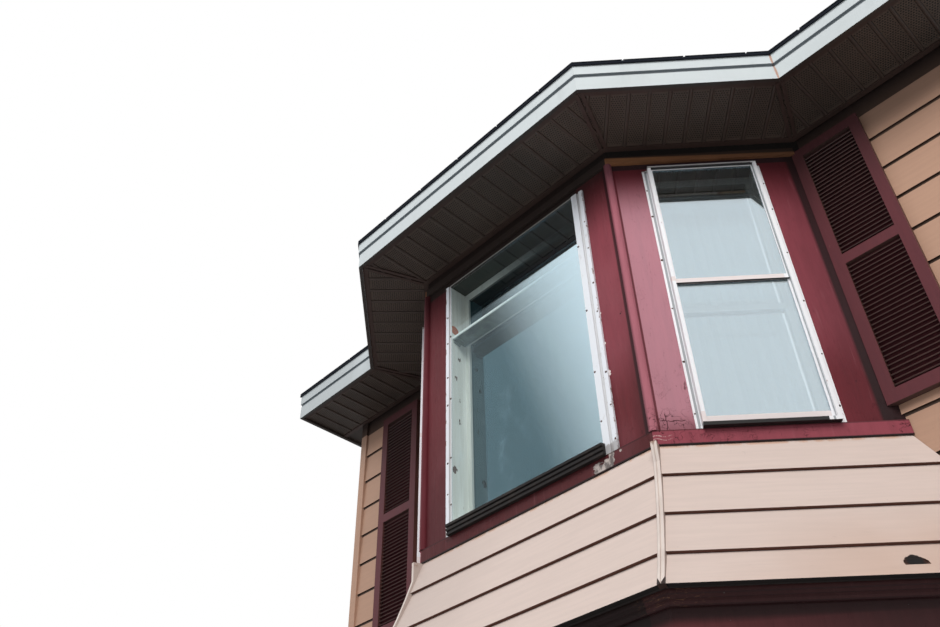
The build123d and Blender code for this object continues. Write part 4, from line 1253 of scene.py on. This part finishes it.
class RoofSizes(bpy.types.PropertyGroup):
    tab_width: bpy.props.FloatProperty(
        name="Tab width", description="Width of a shingle tab with its gap", default=0.305, unit="LENGTH")
    exposure: bpy.props.FloatProperty(
        name="Exposure", description="Height of a shingle that shows", default=0.143, unit="LENGTH")
    tab_gap: bpy.props.FloatProperty(
        name="Gap", description="Gap between two tabs", default=0.008, unit="LENGTH")
    thickness: bpy.props.FloatProperty(
        name="Thickness", description="Thickness of a shingle", default=0.0045, unit="LENGTH")
    seed: bpy.props.IntProperty(name="Seed", description="Seed of the small unevenness", default=7)


class NailSizes(bpy.types.PropertyGroup):
    radius: bpy.props.FloatProperty(
        name="Head radius", description="Radius of a nail head", default=0.0052, unit="LENGTH")
    height: bpy.props.FloatProperty(
        name="Head height", description="How far a head stands proud", default=0.0026, unit="LENGTH")
    seed: bpy.props.IntProperty(name="Seed", description="Seed of the head sizes", default=3)


class ClothSizes(bpy.types.PropertyGroup):
    fold_depth: bpy.props.FloatProperty(
        name="Fold depth", description="Depth of the curtain folds from side to side",
        default=0.024, unit="LENGTH")
    fold_width: bpy.props.FloatProperty(
        name="Fold width", description="Width of one fold along the rod", default=0.058, unit="LENGTH")


def place_camera(scene, sizes):
    """Puts the camera where the picture was taken from."""
    yaw, pitch, roll = (math.radians(v) for v in sizes.camera_turn)
    level_ahead = Vector((-math.sin(yaw), math.cos(yaw), 0))
    side = Vector((math.cos(yaw), math.sin(yaw), 0))
    ahead = level_ahead * math.cos(pitch) + Vector((0, 0, math.sin(pitch)))
    above = level_ahead * -math.sin(pitch) + Vector((0, 0, math.cos(pitch)))
    right = side * math.cos(roll) + above * math.sin(roll)
    up = side * -math.sin(roll) + above * math.cos(roll)
    turned = Matrix((right, up, -ahead)).transposed().to_4x4()
    camera = bpy.data.objects.new("bay_camera", bpy.data.cameras.new("bay_camera"))
    camera.data.sensor_fit = "HORIZONTAL"
    camera.data.sensor_width = 36.0
    camera.data.lens = sizes.lens
    camera.data.clip_start = 0.05
    camera.data.clip_end = 200.0
    camera.matrix_world = Matrix.Translation(Vector(sizes.camera_place)) @ turned
    scene.collection.objects.link(camera)
    scene.camera = camera


def lay_floor(scene, sizes):
    """Lays the pale floor, which a camera sees a little brighter than it is lit."""
    far = 30.0
    corners = [(x, y, sizes.floor_level) for x, y in ((-far, -far), (far, -far), (far, far), (-far, far))]
    floor = bpy.data.meshes.new("stage_floor")
    floor.from_pydata(corners, [], [(0, 1, 2, 3)])
    f = Finish("stage_floor_pale")
    soft = f.node("ShaderNodeBsdfDiffuse", {}, {"Color": shade(226, 226, 226)})
    white = f.node("ShaderNodeEmission", {}, {"Color": (1, 1, 1, 1), "Strength": 0.85})
    seen = f.node("ShaderNodeLightPath", {}, {}, "Is Camera Ray")
    floor.materials.append(f.ended(f.node("ShaderNodeMixShader", {}, {0: seen * 0.55, 1: soft, 2: white})))
    ground = bpy.data.objects.new("stage_floor", floor)
    scene.collection.objects.link(ground)


def fill_world(scene, sizes):
    """Even light from all round, and white where a camera, a mirror or a pane shows it."""
    world = bpy.data.worlds.new("pale_studio")
    sky = Tree(world)
    camera, glossy, through = (sky.node("ShaderNodeLightPath", {}, {}, f"Is {kind} Ray")
                               for kind in ("Camera", "Glossy", "Transmission"))
    light = {"Color": (0.93, 0.96, 1.0, 1.0), "Strength": sizes.sky_level}
    plain = sky.node("ShaderNodeBackground", {}, light)
    white = sky.node("ShaderNodeBackground", {}, {"Color": (1, 1, 1, 1), "Strength": 1.0})
    both = sky.node("ShaderNodeMixShader", {}, {0: camera.high(glossy).high(through), 1: plain, 2: white})
    sky.node("ShaderNodeOutputWorld", {}, {"Surface": both}, None)
    scene.world = world


def hang_lamps(scene, sizes):
    """Three large soft lamps round the bay, all turned to its middle."""
    aim = Vector((0.1, -0.5, 1.5))
    for name, place, size, power, tint in (
        ("key_light", (4.2, -6.2, 7.6), 5.0, sizes.key_power, (1.0, 0.985, 0.96)),
        ("fill_light", (-5.6, -5.4, 4.0), 4.5, sizes.fill_power, (0.94, 0.97, 1.0)),
        ("back_light", (0.5, 5.5, 5.0), 4.0, sizes.fill_power, (1.0, 1.0, 1.0)),
    ):
        lamp = bpy.data.lights.new(name, "AREA")
        lamp.shape = "SQUARE"
        lamp.size = size
        lamp.energy = power
        lamp.color = tint
        holder = bpy.data.objects.new(name, lamp)
        holder.location = place
        holder.rotation_euler = (aim - Vector(place)).to_track_quat("-Z", "Y").to_euler()
        holder.visible_camera = False
        holder.visible_glossy = False
        scene.collection.objects.link(holder)


class BAY_OT_stage(bpy.types.Operator):
    """Makes the camera, the floor, the lights and the world"""
    bl_idname = "bay.stage"
    bl_label = "Stage"

    def execute(self, context):
        for make in (place_camera, lay_floor, fill_world, hang_lamps):
            make(context.scene, context.scene.bay_stage)
        context.scene.view_settings.view_transform = "Standard"
        return {"FINISHED"}


class BAY_OT_finishes(bpy.types.Operator):
    """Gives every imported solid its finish"""
    bl_idname = "bay.finishes"
    bl_label = "Finishes"

    def execute(self, context):
        left_over = set(solids) ^ set(SOLID_FINISHES)
        if left_over:
            raise RuntimeError(f"no finish, or no solid, for {sorted(left_over)}")
        for name, solid in solids.items():
            solid.data.materials.clear()
            solid.data.materials.append(finish(SOLID_FINISHES[name]))
        return {"FINISHED"}


# The panels hang under the soffit, PANEL_THICK thick, and stop short of the eave's end boards
PANEL_THICK = 0.0009
PANEL_FOOT = SOFFIT - PANEL_THICK
END_BOARD = 0.016


def own_run(point):
    """The run that a point under the eave belongs to."""
    best = None
    for run in RUNS:
        away = point - run.left
        s, o = away.dot(run.along), away.dot(run.out)
        first, last = run.ends(o)
        over = max(first - s, s - last, 0)
        if o > -0.02 and (best is None or over < best[0]):
            best = (over, run)
    return best[1]


def mapped(mesh):
    """Gives a mesh a map in metres: along its own run, moved by whole ribs, and outwards from the wall."""
    layer = mesh.uv_layers.new(name="run")
    shift = 100 * RIB_PITCH
    for polygon in mesh.polygons:
        run = own_run(polygon.center)
        for index in polygon.loop_indices:
            away = mesh.vertices[mesh.loops[index].vertex_index].co - run.left
            layer.data[index].uv = (away.dot(run.along) + shift, away.dot(run.out))


def eave_strips(built, near, far, bottom, top):
    """Adds a strip on all five runs, closed by the end boards at the eave's two ends."""
    for run in RUNS:
        start = END_BOARD if run is MAIN_LEFT else None
        end = run.length - END_BOARD if run is MAIN_RIGHT else None
        run_strip(built, run, near, far, bottom, top, start, end)


def rib_lines(sizes):
    """The middle line of each rib, across the panels from channel to channel."""
    hang = PANEL_FOOT - sizes.rib_depth / 2
    clear = 0.03
    lines = []
    for run in RUNS:
        low, high = run.span(0, SOFFIT_REACH)
        first = clear if run is MAIN_LEFT else low
        last = run.length - clear if run is MAIN_RIGHT else high - 0.001
        for step in range(math.ceil(first / sizes.rib_pitch), math.ceil(last / sizes.rib_pitch)):
            s = step * sizes.rib_pitch
            stretch = run.reach(s, sizes.trim_width - 0.004, SOFFIT_REACH - 0.026)
            if stretch:
                lines.append([run.at(s, o, hang) for o in stretch])
    return lines


def rib_mesh(sizes):
    """The ribs, a tapered section swept along each line."""
    tree = NodeModifier("soffit_ribs", {
        "Rib width": sizes.rib_width, "Rib depth": sizes.rib_depth, "Rib taper": 0.6,
        "Material": finish("ribs")})
    curve = tree.node("GeometryNodeMeshToCurve", {}, {"Mesh": tree.input("Geometry")})
    upright = tree.node("GeometryNodeSetCurveNormal", {"mode": "Z_UP"}, {"Curve": curve})
    narrow = tree.maths("MULTIPLY", tree.input("Rib width"), tree.input("Rib taper"))
    section = tree.node("GeometryNodeCurvePrimitiveQuadrilateral", {"mode": "TRAPEZOID"}, {
        "Bottom Width": tree.input("Rib width"), "Top Width": narrow, "Offset": 0.0,
        "Height": tree.input("Rib depth")})
    swept = tree.node("GeometryNodeCurveToMesh", {}, {
        "Curve": upright, "Profile Curve": section, "Fill Caps": True})
    return tree.applied(lines_mesh(rib_lines(sizes)), swept)


def mitre_strips(built, bottom):
    """Adds the two thin strips that cover the panels' joint at each corner of the eave."""
    turn = TURN / 2
    first, last = 0.018, SOFFIT_REACH / math.cos(turn) - 0.012
    half_width = 0.009
    for corner, sign in ((LEFT.left, -1), (FRONT.left, -1), (RIGHT.left, 1), (MAIN_RIGHT.left, 1)):
        lean = turn * sign
        away = Vector((math.sin(lean), -math.cos(lean), 0))
        side = Vector((-away.y, away.x, 0))
        for shift in (-0.0135, 0.0135):
            add_block(built, [corner + away * a + side * (shift + w * half_width) + Vector((0, 0, z))
                              for z in (bottom, PANEL_FOOT)
                              for a, w in ((first, -1), (last, -1), (last, 1), (first, 1))])


class BAY_OT_soffit(bpy.types.Operator):
    """Hangs the vented panels, ribs, channels and mitre strips under the eave"""
    bl_idname = "bay.soffit"
    bl_label = "Soffit panels"

    def execute(self, context):
        sizes = context.scene.bay_eave
        panels = bmesh.new()
        eave_strips(panels, 0.002, SOFFIT_REACH, PANEL_FOOT, SOFFIT)
        mapped(bmesh_object("soffit_vent_panels", panels, "soffit", finish("vents")).data)
        mesh_object("soffit_ribs", rib_mesh(sizes), "soffit")
        trims = bmesh.new()
        foot = SOFFIT - 0.0115
        eave_strips(trims, 0.0005, sizes.trim_width, foot, PANEL_FOOT)
        eave_strips(trims, SOFFIT_REACH - 0.030, SOFFIT_REACH, foot + 0.004, PANEL_FOOT)
        mitre_strips(trims, foot + 0.0015)
        bmesh_object("soffit_trims", trims, "soffit", finish("trims"))
        return {"FINISHED"}


def tab_places(run, sizes):
    """Where each shingle of a slope goes: along the eave and up the slope, every other course shifted."""
    pitch = math.atan(ROOF_SLOPE)
    deep = ROOF_REACH + run.slope_depth
    low, high = run.span(ROOF_REACH, -deep)
    places = []
    for row in range(math.ceil(deep / math.cos(pitch) / sizes.exposure)):
        across = low - 0.05 - (row % 2) * sizes.tab_width / 2
        while across < high + 0.05:
            places.append((across + sizes.tab_width / 2, row * sizes.exposure, 0.0))
            across += sizes.tab_width
    return places


def flat_shingles(run, sizes):
    """The shingles of a slope, laid flat: each tips up on the one below it, a little out of line."""
    tree = NodeModifier("shingle_tabs", {
        "Tab width": sizes.tab_width, "Exposure": sizes.exposure, "Gap": sizes.tab_gap,
        "Thickness": sizes.thickness, "Seed": sizes.seed, "Material": finish("asphalt")})
    width = tree.maths("SUBTRACT", tree.input("Tab width"), tree.input("Gap"))
    length = tree.maths("MULTIPLY", tree.input("Exposure"), 1.12)
    size = tree.node("ShaderNodeCombineXYZ", {}, {0: width, 1: length, 2: tree.input("Thickness")})
    tab = tree.node("GeometryNodeMeshCube", {}, {"Size": size})
    half = tree.maths("MULTIPLY", length, 0.5)
    middle = tree.node("ShaderNodeCombineXYZ", {}, {1: half, 2: tree.input("Thickness")})
    laid = tree.node("GeometryNodeTransform", {}, {
        "Geometry": tab, "Translation": middle,
        "Rotation": (-math.atan(sizes.thickness / sizes.exposure), 0.0, 0.0)})
    uneven = tree.node("FunctionNodeRandomValue", {"data_type": "FLOAT_VECTOR"}, {
        "Min": (-0.0016, 0.0, 0.0), "Max": (0.0016, 0.0035, 0.0006), "Seed": tree.input("Seed")})
    nudged = tree.node("GeometryNodeSetPosition", {}, {"Geometry": tree.input("Geometry"), "Offset": uneven})
    rows = tree.node("GeometryNodeInstanceOnPoints", {}, {"Points": nudged, "Instance": laid})
    return tree.applied(points_mesh(tab_places(run, sizes)), rows)


def slope_seat(run):
    """The matrix that lays a flat field of shingles on a run's slope, from its eave upwards."""
    pitch = math.atan(ROOF_SLOPE)
    up_slope = -run.out * math.cos(pitch) + Vector((0, 0, math.sin(pitch)))
    columns = (run.along, up_slope, run.along.cross(up_slope), run.at(0, ROOF_REACH, ROOF_TOP))
    return Matrix([[column[i] for column in columns] for i in range(3)] + [[0, 0, 0, 1]])


def slope_cuts(run):
    """The planes that bound a slope, each as a point and a direction outwards."""
    left = (run.left, -run.along - run.out * run.left_lean)
    right = (run.at(run.length, 0, 0), run.along - run.out * run.right_lean)
    if run is MAIN_LEFT:
        left = (Vector((ROOF_ENDS[0], 0, 0)), Vector((-1, 0, 0)))
    if run is MAIN_RIGHT:
        right = (Vector((ROOF_ENDS[1], 0, 0)), Vector((1, 0, 0)))
    ridge = (Vector((0, -0.001, 0)), Vector((0, 1, 0)))
    eave = (run.at(0, ROOF_REACH, 0), run.out)
    top = (Vector((0, 0, cad_box[1][2] - 0.0002)), Vector((0, 0, 1)))
    return left, right, ridge, eave, top


def trimmed(built, point, outside):
    """Cuts away what lies beyond a plane and closes the cut."""
    parts = built.verts[:] + built.edges[:] + built.faces[:]
    cut = bmesh.ops.bisect_plane(built, geom=parts, plane_co=point, plane_no=outside,
                                 clear_outer=True, dist=1e-6)
    rims = [e for e in cut["geom_cut"] if isinstance(e, bmesh.types.BMEdge)]
    if rims:
        bmesh.ops.holes_fill(built, edges=[e for e in rims if e.is_valid and e.is_boundary], sides=0)


class BAY_OT_shingles(bpy.types.Operator):
    """Lays the shingle courses over the five roof slopes"""
    bl_idname = "bay.shingles"
    bl_label = "Shingles"

    def execute(self, context):
        roof = bmesh.new()
        for run in RUNS:
            field = flat_shingles(run, context.scene.bay_roof)
            slope = bmesh.new()
            slope.from_mesh(field)
            slope.transform(slope_seat(run))
            for point, outside in slope_cuts(run):
                trimmed(slope, point, outside)
            field.clear_geometry()
            slope.to_mesh(field)
            slope.free()
            roof.from_mesh(field)
            bpy.data.meshes.remove(field)
        bmesh_object("roof_shingles", roof, "shingle", finish("asphalt"))
        return {"FINISHED"}


# The levels of the nails down each frame
FRAME_NAILS = (2.106, 1.920, 1.688, 1.509, 1.160, 0.987, 0.819)
STOP_NAILS = (1.968, 1.548, 1.190, 0.930)
SIDE_NAILS = (2.183, 1.997, 1.703, 1.406, 1.109, 0.845)


def nail_places():
    """Where each nail goes, with the way its head faces."""
    nails = []
    for frame_side, stop_side, stop_out in ((-0.5025, -0.4875, 0.004), (0.5095, 0.452, 0.014)):
        nails += [(FRONT, HALF_FRONT + frame_side, 0.012, z) for z in FRAME_NAILS]
        nails += [(FRONT, HALF_FRONT + stop_side, stop_out, z) for z in STOP_NAILS]
    for run in (RIGHT, LEFT):
        middle = window_middle(run)
        nails += [(run, middle + end * 0.2875, 0.005, z + end * 0.004) for end in (-1, 1) for z in SIDE_NAILS]
        nails += [(run, middle + across, 0.005, SIDE_HEAD - 0.005) for across in (-0.19, 0.0, 0.19)]
    return [run.at(s, o, z) for run, s, o, z in nails], [nail[0].out for nail in nails]


class BAY_OT_nails(bpy.types.Operator):
    """Drives the nails along the window frames"""
    bl_idname = "bay.nails"
    bl_label = "Nails"

    def execute(self, context):
        sizes = context.scene.bay_nails
        tree = NodeModifier("frame_nails", {
            "Head radius": sizes.radius, "Head height": sizes.height, "Seed": sizes.seed,
            "Material": finish("nail")})
        top = tree.maths("MULTIPLY", tree.input("Head radius"), 0.55)
        head = tree.node("GeometryNodeMeshCone", {}, {
            "Vertices": 10, "Radius Top": top, "Radius Bottom": tree.input("Head radius"),
            "Depth": tree.input("Head height")})
        out = tree.node("GeometryNodeInputNamedAttribute", {"data_type": "FLOAT_VECTOR"}, {"Name": "out"})
        turned = tree.node("FunctionNodeAlignRotationToVector", {"axis": "Z"}, {"Vector": out})
        scale = tree.node("FunctionNodeRandomValue", {"data_type": "FLOAT"},
                          {2: 0.8, 3: 1.25, "Seed": tree.input("Seed")}, 1)
        heads = tree.node("GeometryNodeInstanceOnPoints", {}, {
            "Points": tree.input("Geometry"), "Instance": head, "Rotation": turned, "Scale": scale})
        mesh_object("frame_nails", tree.applied(points_mesh(*nail_places()), heads), "white_aluminium")
        return {"FINISHED"}


# The radius of a curtain's pocket, and into how many steps its drop and each of its folds are cut
POCKET = 0.0046
HANG_STEPS = 26
FOLD_STEPS = 14


def curtain_profile(rod_level, foot):
    """The curtain's section across the rod: a pocket round it, the hanging cloth and the turned hem.

    Each point is an offset and a level. The second result is the index of the first hanging point.
    """
    behind = [(-POCKET, rod_level - drop) for drop in (0.034, 0.018, 0.006)]
    over = [(POCKET * math.cos(math.radians(a)), rod_level + POCKET * math.sin(math.radians(a)))
            for a in (180, 135, 90, 45, 0)]
    before = [(POCKET, rod_level - 0.012), (POCKET, rod_level - 0.022), (0.0012, rod_level - 0.036)]
    top = rod_level - 0.05
    hanging = [(0.0, top + (foot - top) * i / HANG_STEPS) for i in range(HANG_STEPS + 1)]
    hem = [(-0.0014, foot + 0.008), (-0.0014, foot + 0.028)]
    pocket = behind + over + before
    return pocket + hanging + hem, len(pocket)


def folded(t, z, fall, depth, folds, phases):
    """How far the folds move a point, t of the way across the cloth: along the rod and outwards.

    fall goes from 0 at the pocket to 1 where the folds are fully open.
    """
    wander = 0.16 * math.sin(5.1 * t + phases[0]) + 0.10 * math.sin(2.0 * z + phases[1] + 9 * t)
    wave = math.sin(2 * math.pi * (folds * t + wander))
    sharp = wave * (0.72 + 0.28 * abs(wave))
    size = depth * (0.8 + 0.3 * math.sin(11 * t + phases[2]) * fall)
    sway = 0.0035 * fall * math.sin(3.0 * t + 1.7 * z + phases[3])
    gather = 0.006 * fall * math.sin(4 * math.pi * folds * t + phases[2])
    return gather, sharp * size + sway


def cloth_rows(start, run, width, rod_level, profile, folds, phases):
    """The cloth's points, a level row for each point of its profile."""
    fold_depth = bpy.context.scene.bay_cloth.fold_depth
    steps = folds * FOLD_STEPS
    rows = []
    for o, z in profile:
        fall = max(0.0, min(1.0, (rod_level - 0.03 - z) / 0.30))
        depth = fold_depth / 2 * (0.10 + 0.9 * fall ** 0.7) if fall > 0 else 0.0
        row = []
        for i in range(steps + 1):
            t = i / steps
            gather, outwards = folded(t, z, fall, depth, folds, phases)
            place = start + run.along * (t * width + gather) + run.out * (o + outwards)
            row.append(Vector((place.x, place.y, z)))
        rows.append(row)
    return rows


def running_sums(steps):
    """The sum of the steps so far, from 0."""
    sums = [0.0]
    for step in steps:
        sums.append(sums[-1] + step)
    return sums


def cloth_mesh(name, rows, spans, drops):
    """The mesh of a cloth's rows, with its flat cut as its map: spans across it and drops down it."""
    count = len(spans)
    faces = [(a, a + 1, a + count + 1, a + count)
             for row in range(len(rows) - 1) for a in range(row * count, row * count + count - 1)]
    mesh = bpy.data.meshes.new(name)
    mesh.from_pydata([point for row in rows for point in row], [], faces)
    layer = mesh.uv_layers.new(name="cut")
    for polygon in mesh.polygons:
        for index in polygon.loop_indices:
            row, column = divmod(mesh.loops[index].vertex_index, count)
            layer.data[index].uv = (spans[column], drops[row])
        polygon.use_smooth = True
    return mesh


def hang_cloth(name, start, run, width, rod_level, foot, folds, seed, node):
    rng = random.Random(seed)
    phases = [rng.uniform(0, 6.28) for _ in range(4)]
    profile, hanging = curtain_profile(rod_level, foot)
    rows = cloth_rows(start, run, width, rod_level, profile, folds, phases)
    middle_row = rows[hanging + HANG_STEPS // 2 + 1]
    drops = running_sums(math.dist(*pair) for pair in zip(profile, profile[1:]))
    spans = running_sums((there - here).length for here, there in zip(middle_row, middle_row[1:]))
    piece = mesh_object(name, cloth_mesh(name, rows, spans, drops), "curtain", finish("cloth"))
    thick = piece.modifiers.new("thickness", "SOLIDIFY")
    thick.thickness = 0.0008
    thick.offset = 0.0
    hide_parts(node)


# The rods' radius, and how wide a side curtain hangs and how far behind the outer face of its wall
ROD_RADIUS = 0.004
SIDE_CURTAIN_WIDTH = 0.4874
SIDE_CURTAIN_OFFSET = -0.143


class BAY_OT_curtains(bpy.types.Operator):
    """Hangs the three sheer curtains on their rods"""
    bl_idname = "bay.curtains"
    bl_label = "Curtains"

    def execute(self, context):
        fold = context.scene.bay_cloth.fold_width
        side_rod = level("curtain_rods", 0) + ROD_RADIUS
        front_rod = level("curtain_rods", 1) - ROD_RADIUS
        low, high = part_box("front_curtain")
        width = high.x - low.x
        start = Vector((low.x, (low.y + high.y) / 2, 0))
        hang_cloth("front_curtain_cloth", start, FRONT, width, front_rod, low.z,
                   max(2, round(width / fold)), 11, "front_curtain")
        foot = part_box("side_curtains")[0].z
        for run, name, seed in ((RIGHT, "right", 5), (LEFT, "left", 8)):
            start = run.at(window_middle(run) - SIDE_CURTAIN_WIDTH / 2, SIDE_CURTAIN_OFFSET, 0)
            hang_cloth(f"side_curtain_cloth_{name}", start, run, SIDE_CURTAIN_WIDTH, side_rod, foot,
                       round(SIDE_CURTAIN_WIDTH / fold), seed, "side_curtains")
        return {"FINISHED"}


def shelf_bracket():
    """The thin angle under the left end of the shelf bar: a flat leaf and a web that drops away."""
    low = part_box("front_transom")[0]
    x, near, foot = low.x + 0.002, low.y + 0.004, low.z
    far = near + 0.05
    thick, drop = 0.003, 0.016
    built = bmesh.new()
    leaf = (0.03, foot - thick, foot - thick, foot)
    web = (thick, foot - drop, foot - drop - 0.008, foot - thick)
    for width, near_foot, far_foot, head in (leaf, web):
        end = x + width
        add_block(built, [Vector(corner) for corner in (
            (x, near, near_foot), (end, near, near_foot), (end, far, far_foot), (x, far, far_foot),
            (x, near, head), (end, near, head), (end, far, head), (x, far, head))])
    bmesh_object("shelf_bracket", built, "white_paint", finish("shelf"))


# The panes of the wooden sashes: width, offset from the wall's face, foot and head
FRONT_PANE = (0.8710, -0.120, 0.8675, 2.2785)
SIDE_PANE = (0.4525, -0.075, 0.8305, 2.2655)
INNER_PANE_THICK = 0.004


def inner_pane(name, run, middle, sizes, look):
    """A pane of a wooden sash, between its stiles and rails."""
    width, offset, foot, head = sizes
    built = bmesh.new()
    near, far = offset - INNER_PANE_THICK / 2, offset + INNER_PANE_THICK / 2
    run_strip(built, run, near, far, foot, head, middle - width / 2, middle + width / 2)
    bmesh_object(name, built, "glass", finish(look))


class BAY_OT_details(bpy.types.Operator):
    """Adds the bracket under the shelf bar and the inner panes of the wooden sashes"""
    bl_idname = "bay.details"
    bl_label = "Small details"

    def execute(self, context):
        shelf_bracket()
        inner_pane("inner_pane_front", FRONT, HALF_FRONT + FRONT_MIDDLE, FRONT_PANE, "dark_glass")
        for name, run in (("inner_pane_right", RIGHT), ("inner_pane_left", LEFT)):
            inner_pane(name, run, window_middle(run), SIDE_PANE, "clear_glass")
        return {"FINISHED"}


class BAY_PT_panel(bpy.types.Panel):
    """Sizes and steps of the bay window"""
    bl_idname = "BAY_PT_panel"
    bl_label = "Bay Window"
    bl_space_type = "VIEW_3D"
    bl_region_type = "UI"
    bl_category = "Bay Window"

    def draw(self, context):
        column = self.layout.column()
        for group in GROUPS:
            column.label(text=group.replace("bay_", "").capitalize())
            sizes = getattr(context.scene, group)
            for name in GROUPS[group].__annotations__:
                column.prop(sizes, name)
        for step in STEPS:
            column.operator(step.bl_idname)


GROUPS = {"bay_stage": StageSizes, "bay_eave": EaveSizes, "bay_roof": RoofSizes,
          "bay_nails": NailSizes, "bay_cloth": ClothSizes}
STEPS = (BAY_OT_stage, BAY_OT_finishes, BAY_OT_soffit, BAY_OT_shingles, BAY_OT_nails,
         BAY_OT_curtains, BAY_OT_details)


def register():
    for kind in (*GROUPS.values(), *STEPS, BAY_PT_panel):
        bpy.utils.register_class(kind)
    for name, kind in GROUPS.items():
        setattr(bpy.types.Scene, name, bpy.props.PointerProperty(type=kind))


def unregister():
    for name in GROUPS:
        delattr(bpy.types.Scene, name)
    for kind in reversed((*GROUPS.values(), *STEPS, BAY_PT_panel)):
        bpy.utils.unregister_class(kind)


def main():
    register()
    bpy.ops.bay.stage()
    bpy.ops.bay.finishes()
    bpy.ops.bay.soffit()
    bpy.ops.bay.shingles()
    bpy.ops.bay.nails()
    bpy.ops.bay.curtains()
    bpy.ops.bay.details()
    bpy.context.view_layer.update()


if __name__ == "__main__":
    main()
